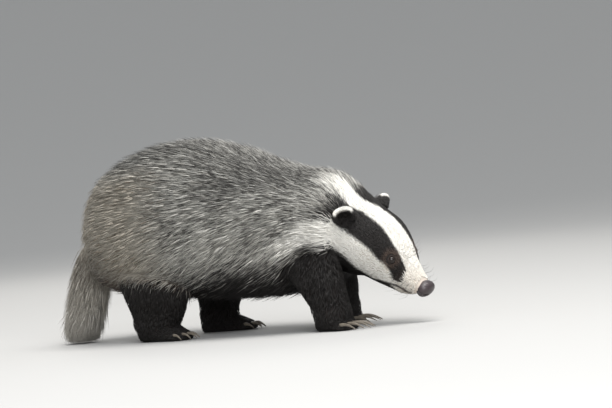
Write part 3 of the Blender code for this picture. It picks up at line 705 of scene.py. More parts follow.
def mouth_line():
    """Points of the mouth's line on the skin."""
    tree = skin_tree()
    points = []
    for k in range(MOUTH_POINTS):
        t = 2 * k / (MOUTH_POINTS - 1) - 1
        height = MOUTH_HEIGHT - 0.0105 * abs(t) ** 1.5 + 0.0040 * math.sin(math.pi * abs(t))
        ray = HEAD_TURN @ Vector((math.cos(MOUTH_SWING * t), math.sin(MOUTH_SWING * t), 0))
        hit, _, _, _ = tree.ray_cast(HEAD @ Vector((MOUTH_HINGE, 0, height)), ray)
        points.append(hit)
    return np.array(points)


places, normals = mesh_arrays(skin)
mouth = mouth_line()
close = np.where(np.linalg.norm(places - mouth.mean(axis=0), axis=1) < 0.06)[0]
gaps = np.linalg.norm(places[close, None, :] - mouth[None, :, :], axis=2)
gap = gaps.min(axis=1)
groove = -0.0013 * np.exp(-((gap / 0.0010) ** 2)) + 0.0006 * np.exp(-(((gap - 0.0028) / 0.0016) ** 2))
places[close] += normals[close] * groove[:, None]

for side in SIDES.values():
    centre, look, along, brow = (np.array(v) for v in eye_axes(side))
    away = places - centre
    u, v, w = away @ along, away @ brow, away @ look
    ring = np.sqrt((u / 1.25) ** 2 + (v / 0.95) ** 2)
    near = w > -0.004
    hole = smoothstep(EYE_RADIUS * 1.02, EYE_RADIUS * 0.62, ring) * near
    places -= look * (hole * np.maximum(w - 0.0002, 0.0))[:, None]
    ridge = np.exp(-(((ring - 0.0085) / 0.0028) ** 2)) * smoothstep(-0.002, 0.006, v) * near
    places += look * (ridge * 0.0011)[:, None]

places[:, 2] = np.maximum(places[:, 2], 0.0004)
skin.data.vertices.foreach_set("co", places.ravel())
skin.data.update()
print("mouth is", round(float(np.linalg.norm(np.diff(mouth, axis=0), axis=1).sum()) * 1000), "mm along")

# %% [markdown]
# ## What grows where
# Every point of the skin is given what its hair needs: which form it belongs to, how long the hair
# is, how far it stands out, how wide a tuft is, and which way it lies. Hair lies back from the
# nose over head and trunk, falls more steeply over flank and rump, runs down the legs and the
# tail and forward over the toes. The values are then smoothed over the surface, so that one
# kind of hair passes into the next.

# %% Give hair values to the skin's points
SPREAD_ROUNDS = 14


def in_frame(points, place):
    """Points as they are seen from a frame, which is given by its matrix."""
    inverse = np.array(place.inverted())
    return points @ inverse[:3, :3].T + inverse[:3, 3]


def in_head(points):
    """Points in the head's own frame."""
    return in_frame(points, HEAD)


def in_ear(points, side):
    """Points in an ear's own frame, as shares of its size."""
    return in_frame(points, ear_frame(side)) / np.array(EAR_SIZE)


places, normals = mesh_arrays(skin)
point_form = np.array([form_of_face[form_tree.find_nearest(p)[2]] for p in places])
ear_near = np.zeros(len(places), int)
for side, mark in EAR_MARKS.items():
    inside = np.linalg.norm(in_ear(places, side), axis=1) < 1.12
    lifted = np.array([form_tree.find_nearest(p)[3] if near else 0.0 for p, near in zip(places, inside)])
    ear_near[inside & (lifted > 0.0022)] = mark


def is_form(*names):
    return np.isin(point_form, [FORM_ID[name] for name in names])


head_local = in_head(places)
length = np.full(len(places), 0.034)
rise = np.full(len(places), COAT_DEPTH)
width = np.full(len(places), 0.0015)
lie = np.zeros((len(places), 3))

flank = smoothstep(0.20, 0.10, places[:, 2])
rump = smoothstep(-0.145, -0.205, places[:, 0])
fore = smoothstep(0.10, 0.16, places[:, 0])
lie[:, 0] = -1.0
lie[:, 2] = -(0.14 + 0.32 * flank + 1.0 * rump) * (1 - fore) + 0.30 * fore

head = is_form("head")
back_of_head = smoothstep(0.045, -0.024, head_local[:, 0])
low_on_head = smoothstep(-0.01, -0.05, head_local[:, 2])
length[head] = (0.0048 + 0.020 * back_of_head**1.4 + 0.005 * low_on_head * (1 - back_of_head))[head]
rise[head] = (FACE_DEPTH + (NECK_DEPTH - FACE_DEPTH) * smoothstep(0.030, -0.024, head_local[:, 0]))[head]
width[head] = (0.00080 + 0.0006 * back_of_head)[head]
head_lie = np.stack(
    [
        np.full(len(places), -1.0),
        0.22 * np.sign(head_local[:, 1]) * low_on_head,
        -0.10 - 0.25 * low_on_head,
    ],
    axis=1,
) @ np.array(HEAD_TURN).T
lie[head] = head_lie[head]

neck = is_form("neck")
length[neck] = 0.028
rise[neck] = NECK_DEPTH + 0.0015
width[neck] = 0.0014

legs = is_form(*LEGS)
length[legs] = (0.010 + 0.008 * smoothstep(0.03, 0.08, places[:, 2]))[legs]
rise[legs] = LEG_DEPTH
width[legs] = 0.0013
lie[legs] = (-0.20, 0.0, -1.0)

paws = is_form(*PAWS)
length[paws] = 0.0065
rise[paws] = PAW_DEPTH
width[paws] = 0.0010
lie[paws] = (1.0, 0.0, -0.55)

tail = is_form("tail")
length[tail] = 0.052
rise[tail] = 0.013
width[tail] = 0.0014
lie[tail] = (-0.36, -0.05, -1.0)

for side, mark in EAR_MARKS.items():
    ear = ear_near == mark
    length[ear] = 0.0050
    rise[ear] = 0.0012
    width[ear] = 0.0009
    lie[ear] = ear_frame(side).to_3x3() @ Vector((0, 0, 1))

ends = np.empty(len(skin.data.edges) * 2, int)
skin.data.edges.foreach_get("vertices", ends)
ends = ends.reshape(-1, 2)
degree = np.bincount(ends.ravel(), minlength=len(places)).astype(float)[:, None]
values = np.column_stack([length, rise, width, lie])
hold = (ear_near > 0)[:, None]
for _ in range(SPREAD_ROUNDS):
    total = np.zeros_like(values)
    np.add.at(total, ends[:, 0], values[ends[:, 1]])
    np.add.at(total, ends[:, 1], values[ends[:, 0]])
    values = np.where(hold, values, total / degree)
print("points on ears:", int((ear_near > 0).sum()), "of", len(places))

# %% [markdown]
# ## The badger's pattern and painted shade
# The face is white with a broad black stripe from each ear through the eye to the muzzle. Cheeks
# are white back to the neck, the throat, chest, belly and legs are black, and everything above is
# grizzled. On the head the borders are given as an angle round the head's axis for each place
# along it, from the top of the head to the throat. Low on the rump, between the tail and the thigh,
# the hair is made darker as painted shade. Skin and coat use this one function, so that
# they agree.

# %% Pattern of white, black, brown and dark, with painted shade on the rump
HEAD_AXIS_HEIGHT = 0.03
# place forward of the ears, middle of the centre stripe, its half width in degrees
CENTRE_STRIPE = [
    (-0.070, -41, 14),
    (-0.050, -36, 17),
    (-0.030, -26, 21.5),
    (-0.006, -22, 22.5),
    (0.010, -1, 25),
    (0.035, 0, 23.5),
    (0.062, 0, 26),
    (0.085, 0, 27),
    (0.094, 0, 29),
    (0.100, 0, 41),
    (0.106, 0, 60),
]
# place forward of the ears, lower border of the black stripe, lower border of the white cheek
CHEEK = [
    (-0.045, 118, 118.5),
    (-0.040, 114, 118),
    (-0.036, 110, 117),
    (-0.031, 101, 116),
    (-0.023, 86, 115),
    (-0.016, 78, 113),
    (-0.009, 74, 103),
    (0.002, 73, 95),
    (0.021, 67, 98),
    (0.038, 62, 95),
    (0.054, 60, 96),
    (0.065, 60, 99),
    (0.075, 57, 100),
    (0.086, 58, 92),
    (0.094, 64, 84),
    (0.100, 60, 84),
    (0.106, 52, 96),
    (0.120, 40, 120),
]
# x along the body, height of the border between grey flank and black belly
BELLY_LINE = [
    (-0.220, 0.104),
    (-0.167, 0.088),
    (-0.110, 0.082),
    (-0.052, 0.080),
    (-0.008, 0.086),
    (0.025, 0.098),
    (0.042, 0.101),
    (0.064, 0.095),
    (0.080, 0.090),
    (0.098, 0.096),
    (0.118, 0.106),
    (0.135, 0.116),
    (0.160, 0.112),
]


def columns(table):
    return [np.array(column) for column in zip(*table)]


def pattern_and_shade(points, forms, ear, blur=0.0):
    """How white, black, brown and dark the hair is at each place. Dark also holds painted shade low on
    the rump. Blur is a random shift of the borders, one value for each point, in metres."""
    local = in_head(points)
    x = local[:, 0] + blur
    angle = np.degrees(np.arctan2(local[:, 1], local[:, 2] + HEAD_AXIS_HEIGHT))
    angle = angle + np.degrees(blur / 0.05)
    place, middle, half = columns(CENTRE_STRIPE)
    off = np.abs(angle - np.interp(x, place, middle)) - np.interp(x, place, half)
    centre = smoothstep(2.5, -2.5, off) * smoothstep(-0.066, -0.030, x)
    place, upper, lower = columns(CHEEK)
    turn = np.abs(angle)
    above = smoothstep(-2.5, 2.5, turn - np.interp(x, place, upper))
    under = smoothstep(-3.0, 3.0, turn - np.interp(x, place, lower))
    on_head = forms == FORM_ID["head"]
    upper_body = np.isin(forms, [FORM_ID["neck"], FORM_ID["trunk"]])
    cheek = above * (1 - under) * smoothstep(-0.047, -0.036, x) * (on_head | upper_body)
    muzzle = smoothstep(0.099, 0.106, x) * on_head
    white = np.maximum(np.maximum(centre * (on_head | upper_body), cheek), muzzle * (1 - under))
    on_neck = forms == FORM_ID["neck"]
    stripe = (1 - centre) * (1 - above) * smoothstep(-0.026, -0.014, x) * (on_head | on_neck)
    belly_x, belly_z = columns(BELLY_LINE)
    limbs = np.isin(forms, [FORM_ID[name] for name in (*LEGS, *PAWS)])
    on_tail = forms == FORM_ID["tail"]
    tail_tip = smoothstep(0.12, 0.05, points[:, 2])
    line = np.interp(points[:, 0], belly_x, belly_z) + 0.016 * limbs
    below = smoothstep(0.010, -0.010, points[:, 2] + blur * 3 - line)
    white = np.where(limbs, 0.0, white)
    black = np.maximum(below * (1 - white), stripe)
    black = np.where(on_head, np.maximum(stripe, under * (1 - muzzle)), black)
    black = np.where(on_tail, 0.0, black)
    for side, mark in EAR_MARKS.items():
        spot = in_ear(points, side)
        edge = np.hypot(spot[:, 1], spot[:, 2]) + blur * 20
        inner = 0.74 if side < 0 else 0.52
        rim = smoothstep(inner, inner + 0.10, edge) * smoothstep(0.15, 0.40, spot[:, 2])
        mine = ear == mark
        white = np.where(mine, rim, white)
        black = np.where(mine, 1 - rim, black)
    haunch = smoothstep(-0.02, -0.10, points[:, 0]) * smoothstep(0.235, 0.20, points[:, 2])
    brown = haunch * (1 - limbs) + 0.6 * smoothstep(0.085, 0.115, x) * on_head
    centre_eye = [in_head(np.array([eye_frame(side)[0]]))[0] for side in SIDES.values()]
    reach = np.min([np.linalg.norm(local - spot, axis=1) for spot in centre_eye], axis=0)
    brown = np.maximum(brown, smoothstep(0.016, 0.008, reach) * on_head)
    brown = np.where(on_tail, 0.75 - 0.35 * tail_tip, brown)
    back_line = smoothstep(0.215, 0.245, points[:, 2])
    shoulder = smoothstep(-0.02, 0.04, points[:, 0]) * smoothstep(0.16, 0.19, points[:, 2])
    # Painted shade: the hair low on the rump, between the tail and the thigh, is made darker, as shade
    # falls there.
    painted_rump_shade = smoothstep(-0.10, -0.18, points[:, 0] - 0.35 * (0.14 - points[:, 2]))
    painted_rump_shade = painted_rump_shade * smoothstep(0.17, 0.11, points[:, 2])
    pale = np.exp(-(((points[:, 0] - 0.02) / 0.055) ** 2) - ((points[:, 2] - 0.135) / 0.035) ** 2)
    dark = np.clip(0.75 * back_line + 0.75 * shoulder, 0.0, 1.1)
    # Dark is raised by the painted rump shade.
    dark = dark - 0.45 * haunch * (1 - painted_rump_shade) + 0.9 * painted_rump_shade - 0.5 * pale
    dark = np.where(on_tail, 0.3 - 1.4 * tail_tip, dark)
    white = np.where(on_tail, 0.15 + 0.35 * tail_tip, white)
    near_mouth = np.where(local[:, 0] > 0.07)[0]
    reach = np.linalg.norm(points[near_mouth, None, :] - mouth[None, :, :], axis=2).min(axis=1)
    lip = smoothstep(0.0030, 0.0014, reach)
    black[near_mouth] = np.maximum(black[near_mouth], lip)
    return np.column_stack([white, black, brown, dark])


skin_pattern_and_shade = pattern_and_shade(places, point_form, ear_near)
layer = skin.data.attributes.new("pattern_and_shade", "FLOAT_COLOR", "POINT")
layer.data.foreach_set("color", skin_pattern_and_shade.ravel())
print("mean white and black", skin_pattern_and_shade[:, :2].mean(axis=0).round(3))

# %% [markdown]
# ## Tufts
# A tuft is a thin spindle of a few hairs: three-sided, sunk a little at its root, widest in its
# first half and pointed. Tens of thousands of them share one shape, so they are made together
# as arrays of points rather than one by one. Each is walked over the skin in steps, so that it
# bends with the body. Every tuft also gets a small patch of the map on which its colour can be
# baked, at its root's place on an unrolling of the form it grows from.

# %% The tuft maker
TUFT_SINK = 0.0012
PATCH = 0.003
# Share of the way from root to tip, share of the rise, share of the width
LONG_TUFT = ((0.0, None, 0.60), (0.42, 0.66, 1.0), (1.0, 1.06, 0.0))
SHORT_TUFT = ((0.0, None, 0.70), (0.45, 0.62, 1.0), (1.0, 1.06, 0.0))
MARGIN = 0.02
WAVE_SEED = 5

noise.seed_set(WAVE_SEED)
surface = skin_tree()
faces = bmesh.new()
faces.from_mesh(skin.data)
bmesh.ops.triangulate(faces, faces=faces.faces)
corners = np.array([[v.index for v in face.verts] for face in faces.faces])
areas = np.array([face.calc_area() for face in faces.faces])
faces.free()
mids = places[corners].mean(axis=1)
face_form = point_form[corners[:, 0]]
face_ear = ear_near[corners].max(axis=1)
print("places to grow:", len(corners), "triangles,", round(float(areas.sum()), 3), "square metres")


def unrolled(points, forms, ear):
    """Places on a flat map: each form is unrolled round its own axis, in a cell of its own."""
    kinds = forms + 100 * ear
    present = np.unique(kinds)
    grid = math.ceil(math.sqrt(len(present)))
    spots = np.zeros((len(points), 2))
    for cell, kind in enumerate(present):
        mine = kinds == kind
        p = points[mine]
        if kind in (FORM_ID["trunk"], FORM_ID["neck"]):
            along, angle = p[:, 0], np.arctan2(p[:, 1], p[:, 2] - 0.15)
        elif kind == FORM_ID["head"] or kind >= 100:
            h = in_head(p)
            along, angle = h[:, 0], np.arctan2(h[:, 1], h[:, 2] + HEAD_AXIS_HEIGHT)
        else:
            middle = p.mean(axis=0)
            along, angle = p[:, 2], np.arctan2(p[:, 1] - middle[1], p[:, 0] - middle[0])
        for axis, value in enumerate((along, angle)):
            span = max(np.ptp(value), 1e-6)
            part = MARGIN + (1 - 2 * MARGIN) * (value - value.min()) / span
            spots[mine, axis] = ((cell % grid, cell // grid)[axis] + part) / grid
    return spots


def grow(name, where, count, shape, seed, spread):
    """A coat piece: count tufts on the faces where a test is true."""
    draw = np.random.default_rng(seed)
    chosen = np.where(where)[0]
    share = areas[chosen] / areas[chosen].sum()
    picked = chosen[draw.choice(len(chosen), count, p=share)]
    a, b = draw.random(count), draw.random(count)
    flip = a + b > 1
    a[flip], b[flip] = 1 - a[flip], 1 - b[flip]
    mix = np.column_stack([1 - a - b, a, b])
    tri = corners[picked]
    roots = (places[tri] * mix[:, :, None]).sum(axis=1)
    up = (normals[tri] * mix[:, :, None]).sum(axis=1)
    up /= np.linalg.norm(up, axis=1)[:, None]
    kind = (values[tri] * mix[:, :, None]).sum(axis=1)
    long, tall, wide = kind[:, 0], kind[:, 1], kind[:, 2]
    forms, ear = point_form[tri[:, 0]], ear_near[tri].max(axis=1)
    wave = np.array([noise.noise_vector(Vector(p) * 38) for p in roots])
    flow = kind[:, 3:6] / np.linalg.norm(kind[:, 3:6], axis=1)[:, None]
    flow = flow + wave * spread + draw.normal(0, spread * 0.55, (count, 3))
    long = long * draw.uniform(0.72, 1.15, count)
    long = np.where(forms == FORM_ID["tail"], np.minimum(long, roots[:, 2] * 1.05 - 0.002), long)
    tall = tall * draw.uniform(0.70, 1.05, count)
    stray = draw.random(count) < 0.12
    tall = np.where(stray, tall + 0.0045 * np.clip(tall / COAT_DEPTH, 0.0, 1) ** 2, tall)
    wide = wide * draw.uniform(0.7, 1.25, count)
    rings = []
    p, n, t_before = roots.copy(), up.copy(), 0.0
    for t, lift, share_wide in shape:
        p = p + along * ((t - t_before) * long)[:, None] if t else p
        if t:
            found = [surface.find_nearest(q) for q in p]
            hit = np.array([f[0] for f in found])
            near = np.array([f[1] for f in found])
            gone = np.array([f[3] for f in found])
            brush = (forms == FORM_ID["tail"]) & (p[:, 2] < 0.050)
            keep = ((gone < 0.010) & ~brush)[:, None]
            p = np.where(keep, hit, p)
            n = np.where(keep, n * 0.35 + near * 0.65, n)
            n /= np.linalg.norm(n, axis=1)[:, None]
        along = flow - n * (flow * n).sum(axis=1)[:, None]
        along /= np.linalg.norm(along, axis=1)[:, None]
        side = np.cross(n, along)
        height = -TUFT_SINK if lift is None else tall * lift
        middle = p + n * (height[:, None] if lift is not None else height)
        half = (wide * share_wide / 2)[:, None]
        if share_wide:
            rings += [middle + side * half, middle + n * half * 0.7, middle - side * half]
        else:
            rings.append(middle)
        t_before = t
    points = np.stack(rings, axis=1)
    points[..., 2] = np.maximum(points[..., 2], 0.0015)
    per = points.shape[1]
    levels = (per - 1) // 3
    quads = [(3 * i + j, 3 * i + (j + 1) % 3, 3 * i + 3 + (j + 1) % 3, 3 * i + 3 + j)
             for i in range(levels - 1) for j in range(3)]
    tip = [(per - 4 + j, per - 4 + (j + 1) % 3, per - 1) for j in range(3)] + [(2, 1, 0)]
    loops = np.array([k for face in quads + tip for k in face])
    sizes = np.array([len(face) for face in quads + tip])
    all_loops = (loops[None, :] + (np.arange(count) * per)[:, None]).ravel()
    all_sizes = np.tile(sizes, count)
    mesh = bpy.data.meshes.new(name)
    mesh.vertices.add(count * per)
    mesh.vertices.foreach_set("co", points.ravel())
    mesh.loops.add(len(all_loops))
    mesh.loops.foreach_set("vertex_index", all_loops)
    mesh.polygons.add(len(all_sizes))
    starts = np.concatenate([[0], np.cumsum(all_sizes)[:-1]])
    mesh.polygons.foreach_set("loop_start", starts)
    mesh.polygons.foreach_set("use_smooth", np.ones(len(all_sizes), bool))
    mesh.update(calc_edges=True)

    blur = draw.normal(0, 0.0011, count) * np.clip(long / 0.006, 0.5, 3.0)
    marks_and_shade = pattern_and_shade(roots, forms, ear, blur)
    mesh.attributes.new("pattern_and_shade", "FLOAT_COLOR", "POINT").data.foreach_set(
        "color", np.repeat(marks_and_shade, per, axis=0).ravel()
    )
    way = np.concatenate([np.repeat([row[0] for row in shape[:-1]], 3), [1.0]])
    clump = np.array([noise.noise(Vector(q) * 55 + Vector((7, 3, 1))) for q in roots])
    strand = np.stack(
        [
            np.tile(way, count),
            np.repeat(draw.random(count), per),
            np.repeat(np.clip(0.5 + clump, 0, 1), per),
            np.ones(count * per),
        ],
        axis=1,
    )
    mesh.attributes.new("strand", "FLOAT_COLOR", "POINT").data.foreach_set("color", strand.ravel())
    spots = unrolled(roots, forms, ear)
    wide_way = np.append(np.tile([-0.5, 0.0, 0.5], levels), 0.0)
    patch = np.column_stack([wide_way, way - 0.5]) * PATCH
    uv = (spots[:, None, :] + patch[None, loops, :]).reshape(-1, 2)
    mesh.uv_layers.new(name="OFBake").data.foreach_set("uv", uv.ravel())
    thing = bpy.data.objects.new(name, mesh)
    bpy.context.scene.collection.objects.link(thing)
    triangles = count * (len(quads) * 2 + 4)
    print(name, count, "tufts,", triangles, "triangles")
    return thing


# %% [markdown]
# ## The coat
# The trunk's coat is long and bristly, with tips that break up the outline. Face and feet have
# the shortest and finest hair. Each piece keeps to a part of the body that a person would name.

# %% Grow the coat in pieces
turn = np.degrees(np.arctan2(np.abs(mids[:, 1]), mids[:, 2] - 0.15))
on = {name: np.isin(face_form, [FORM_ID[name]]) & (face_ear == 0) for name in FORMS}
rump_part = on["trunk"] & (mids[:, 0] < -0.150)
trunk_part = on["trunk"] & ~rump_part
leg_part = np.any([on[name] for name in LEGS], axis=0) & (mids[:, 2] < 0.105)
paw_part = np.any([on[name] for name in PAWS], axis=0) & (mids[:, 2] > 0.003)
snout_part = on["head"] & (in_head(mids)[:, 0] > 0.045)
crown_part = on["head"] & ~snout_part
bare = np.linalg.norm((in_head(mids) - np.array(NOSE_PLACE)) / np.array(NOSE_SIZE), axis=1) < 1.12
bare |= np.linalg.norm(mids[:, None, :] - mouth[None, :, :], axis=2).min(axis=1) < 0.0014
for side in SIDES.values():
    bare |= np.linalg.norm(mids - np.array(eye_frame(side)[0]), axis=1) < EYE_RADIUS * 1.35
snout_part &= ~bare

low_part = trunk_part & (turn >= 52) & (turn < 125)
hanging = (mids[:, 2] < 0.138) & (mids[:, 2] > 0.022) & (normals[corners].mean(axis=1)[:, 2] > -0.55)
COAT = [
    ("coat_back", trunk_part & (turn < 52), 19000, "grizzled_coat"),
    ("coat_flank_left", low_part & (mids[:, 1] > 0), 17500, "grizzled_coat"),
    ("coat_flank_right", low_part & (mids[:, 1] < 0), 17500, "grizzled_coat"),
    ("coat_belly", trunk_part & (turn >= 125), 6000, "grizzled_coat"),
    ("coat_rump", rump_part, 12000, "grizzled_coat"),
    ("coat_neck", on["neck"], 14000, "neck_coat"),
    ("coat_tail", on["tail"] & hanging, 10000, "tail_coat"),
    ("coat_legs", leg_part, 12000, "leg_fur"),
    ("fur_crown", crown_part, 14000, "face_fur"),
    ("fur_snout", snout_part, 14500, "face_fur"),
    ("fur_paws", paw_part, 8000, "paw_fur"),
    ("fur_ears", face_ear > 0, 4500, "ear_fur"),
]
coats = []
for seed, (name, where, count, slot) in enumerate(COAT):
    short = name.startswith("fur")
    spread = 0.10 if short else 0.19 if name == "coat_tail" else 0.15
    shape = SHORT_TUFT if short else LONG_TUFT
    coats.append((grow(name, where, count, shape, seed, spread), slot))

# %% [markdown]
# ## Materials of skin and hair
# A guard hair of a badger is pale at its root, has a dark band and ends in a pale tip, and the
# mix of bands is what makes the coat grizzled. The band's place differs from tuft to tuft. White
# and black hair have only a slight drift in tone. The pattern of the animal picks between them,
# and its painted shade low on the rump darkens the grey hair there.

# %% Hair and skin materials
def mixed(tree, first, second, share, kind="MIX"):
    """A colour mix of two colours or sockets by a share, which may be a socket too."""
    made = tree.nodes.new("ShaderNodeMix")
    made.data_type = "RGBA"
    made.blend_type = kind
    for index, value in ((0, share), (6, first), (7, second)):
        if isinstance(value, bpy.types.NodeSocket):
            tree.links.new(value, made.inputs[index])
        elif index == 0:
            made.inputs[index].default_value = value
        else:
            made.inputs[index].default_value = (*value, 1.0)
    return made.outputs[2]


def number(tree, kind, *values):
    """One step of arithmetic on numbers or sockets."""
    made = tree.nodes.new("ShaderNodeMath")
    made.operation = kind
    made.use_clamp = False
    for index, value in enumerate(values):
        if isinstance(value, bpy.types.NodeSocket):
            tree.links.new(value, made.inputs[index])
        else:
            made.inputs[index].default_value = value
    return made.outputs[0]


def ramp(tree, value, stops):
    """A colour ramp with stops of place and colour."""
    made = tree.nodes.new("ShaderNodeValToRGB")
    elements = made.color_ramp.elements
    while len(elements) < len(stops):
        elements.new(0.5)
    for element, (place, colour) in zip(elements, stops):
        element.position = place
        element.color = (*colour, 1.0)
    tree.links.new(value, made.inputs[0])
    return made.outputs[0]


def attribute(tree, name):
    made = tree.nodes.new("ShaderNodeAttribute")
    made.attribute_name = name
    parts = tree.nodes.new("ShaderNodeSeparateColor")
    tree.links.new(made.outputs["Color"], parts.inputs[0])
    return (*parts.outputs, made.outputs["Alpha"])


def texture(tree, kind, scale):
    """A noise or cell texture on the piece's own coordinates."""
    spots = tree.nodes.new("ShaderNodeTexCoord")
    made = tree.nodes.new(f"ShaderNodeTex{kind}")
    made.inputs["Scale"].default_value = scale
    tree.links.new(spots.outputs["Object"], made.inputs["Vector"])
    return made


def bumped(tree, height, strength, distance):
    """Makes a surface stand out a little where a value is high."""
    made = tree.nodes.new("ShaderNodeBump")
    made.inputs["Strength"].default_value = strength
    made.inputs["Distance"].default_value = distance
    tree.links.new(height, made.inputs["Height"])
    tree.links.new(made.outputs["Normal"], tree.nodes["Principled BSDF"].inputs["Normal"])


WHITE_HAIR = (0.88, 0.86, 0.81)
BLACK_HAIR = (0.011, 0.0095, 0.009)
BROWN_HAIR = (0.42, 0.34, 0.235)


def hair_material(name):
    """Banded, white or black hair, picked by the pattern of the animal and darkened by its painted rump
    shade.
    """
    made = plain_material(name, WHITE_HAIR, 0.52)
    tree = made.node_tree
    shader = tree.nodes["Principled BSDF"]
    shader.inputs["Specular IOR Level"].default_value = 0.35
    white, black, brown, dark = attribute(tree, "pattern_and_shade")
    way, chance, clump, _ = attribute(tree, "strand")
    slide = number(tree, "MULTIPLY_ADD", chance, 0.42, -0.21)
    place = number(tree, "ADD", way, slide)
    bands = ramp(
        tree,
        place,
        [
            (0.00, (0.20, 0.185, 0.160)),
            (0.28, (0.44, 0.42, 0.38)),
            (0.44, (0.50, 0.485, 0.44)),
            (0.58, (0.085, 0.080, 0.074)),
            (0.76, (0.090, 0.085, 0.079)),
            (0.92, (0.66, 0.645, 0.60)),
            (1.00, (0.76, 0.745, 0.70)),
        ],
    )
    pale_stops = [
        (0.0, (0.20, 0.19, 0.165)),
        (0.4, (0.48, 0.465, 0.425)),
        (1.0, (0.70, 0.685, 0.64)),
    ]
    pale = ramp(tree, place, pale_stops)
    toss = number(tree, "FRACT", number(tree, "MULTIPLY", chance, 7.3))
    by_place = number(tree, "MULTIPLY_ADD", dark, 0.50, 0.42)
    by_clump = number(tree, "MULTIPLY_ADD", clump, 0.5, -0.25)
    amount = number(tree, "ADD", by_place, by_clump)
    banded = number(tree, "LESS_THAN", toss, amount)
    grey = mixed(tree, pale, bands, banded)
    grey = mixed(tree, grey, BROWN_HAIR, number(tree, "MULTIPLY", brown, 0.42))
    # Grey hair is darkened by dark, which is darker grizzle on back and shoulders and painted shade low
    # on the rump, and by a random tone for each tuft.
    shade = number(tree, "MULTIPLY_ADD", dark, -0.36, number(tree, "MULTIPLY_ADD", chance, 0.30, 0.72))
    grey = mixed(tree, (0, 0, 0), grey, shade)
    cream = mixed(tree, WHITE_HAIR, (0.62, 0.53, 0.42), number(tree, "MULTIPLY", brown, 0.55))
    cream = mixed(tree, cream, (0.55, 0.51, 0.45), number(tree, "MULTIPLY", toss, 0.22))
    ink = mixed(tree, BLACK_HAIR, (0.15, 0.10, 0.075), number(tree, "MULTIPLY", brown, 0.55))
    ink = mixed(tree, ink, (0.028, 0.024, 0.022), number(tree, "MULTIPLY", toss, 0.5))
    colour = mixed(tree, mixed(tree, grey, cream, white), ink, black)
    tree.links.new(colour, shader.inputs["Base Color"])
    return made


def skin_material():
    """The hide under the hair, in the same pattern, with fine short fur as bump."""
    made = plain_material("hide", WHITE_HAIR, 0.7)
    tree = made.node_tree
    shader = tree.nodes["Principled BSDF"]
    shader.inputs["Specular IOR Level"].default_value = 0.25
    white, black, brown, dark = attribute(tree, "pattern_and_shade")
    grain = texture(tree, "Noise", 900)
    grain.inputs["Detail"].default_value = 3
    grey = mixed(tree, (0.10, 0.09, 0.08), (0.24, 0.22, 0.19), grain.outputs["Fac"])
    cream = mixed(tree, (0.58, 0.53, 0.46), (0.70, 0.66, 0.60), grain.outputs["Fac"])
    cream = mixed(tree, cream, (0.50, 0.38, 0.30), number(tree, "MULTIPLY", brown, 0.6))
    ink = mixed(tree, (0.009, 0.008, 0.008), (0.028, 0.021, 0.018), grain.outputs["Fac"])
    colour = mixed(tree, mixed(tree, grey, cream, white), ink, black)
    tree.links.new(colour, shader.inputs["Base Color"])
    bumped(tree, grain.outputs["Fac"], 0.5, 0.0006)
    return made


coat_finish = hair_material("guard_hair")
for thing, slot in coats:
    thing.data.materials.clear()
    thing.data.materials.append(coat_finish)
skin.data.materials.clear()
skin.data.materials.append(skin_material())
skin.data.shade_smooth()

# %% [markdown]
# ## Eyes and lids
# A badger's eye is small, round and so dark that the pupil hardly shows. It is a ball with a very
# wet finish. Two lids close over it in an almond: a ring of round sections that hugs the ball,
# thicker above than below, with bare dark edges.

# %% Make the eyes and their lids
LID_POINTS = 48
LID_SIDES = 12

eyes = []
lids = []
for word, side in SIDES.items():
    centre, look, along, brow = eye_axes(side)
    bm = bmesh.new()
    bmesh.ops.create_uvsphere(bm, u_segments=32, v_segments=24, radius=EYE_RADIUS)
    turn = look.to_track_quat("Z", "Y").to_matrix().to_4x4()
    bmesh.ops.transform(bm, matrix=Matrix.Translation(centre) @ turn, verts=bm.verts)
    eye = new_object(f"eyeball_{word}", bm)
    eye.data.shade_smooth()
    eyes.append((eye, word))

    bm = bmesh.new()
    rings = []
    for k in range(LID_POINTS):
        angle = 2 * math.pi * k / LID_POINTS
        tall = 0.98 if math.sin(angle) > 0 else 0.86
        reach = along * (math.cos(angle) * EYE_RADIUS * 1.16)
        reach += brow * (math.copysign(abs(math.sin(angle)) ** 1.2, math.sin(angle)) * EYE_RADIUS * tall)
        away = reach.normalized()
        out = math.sqrt(max(EYE_RADIUS**2 - reach.length**2, 0.0))
        middle = centre + reach + look * (max(out, EYE_RADIUS * 0.30) + 0.0001)
        wide = 0.0009 + 0.0004 * max(0.0, math.sin(angle))
        rings.append(ring_points(middle, away * (wide * 1.3), look * (wide * 0.8), LID_SIDES))
    bridged(bm, rings, joined=True)
    lid = new_object(f"lids_{word}", bm)
    lid.data.shade_smooth()
    lids.append(lid)

eye_finish = plain_material("wet_eye", (0.012, 0.007, 0.005), 0.04)
eye_shader = eye_finish.node_tree.nodes["Principled BSDF"]
eye_shader.inputs["Specular IOR Level"].default_value = 0.25
eye_shader.inputs["Coat Weight"].default_value = 0.35
eye_shader.inputs["Coat Roughness"].default_value = 0.02
lid_finish = plain_material("bare_lid", (0.030, 0.022, 0.019), 0.5)
lid_finish.node_tree.nodes["Principled BSDF"].inputs["Specular IOR Level"].default_value = 0.2

# %% [markdown]
# ## Nose
# The nose is a broad, blunt pad of bare pebbled skin. It starts as a ball, which is flattened in
# front, notched at the sides by the nostrils and grooved down the middle.

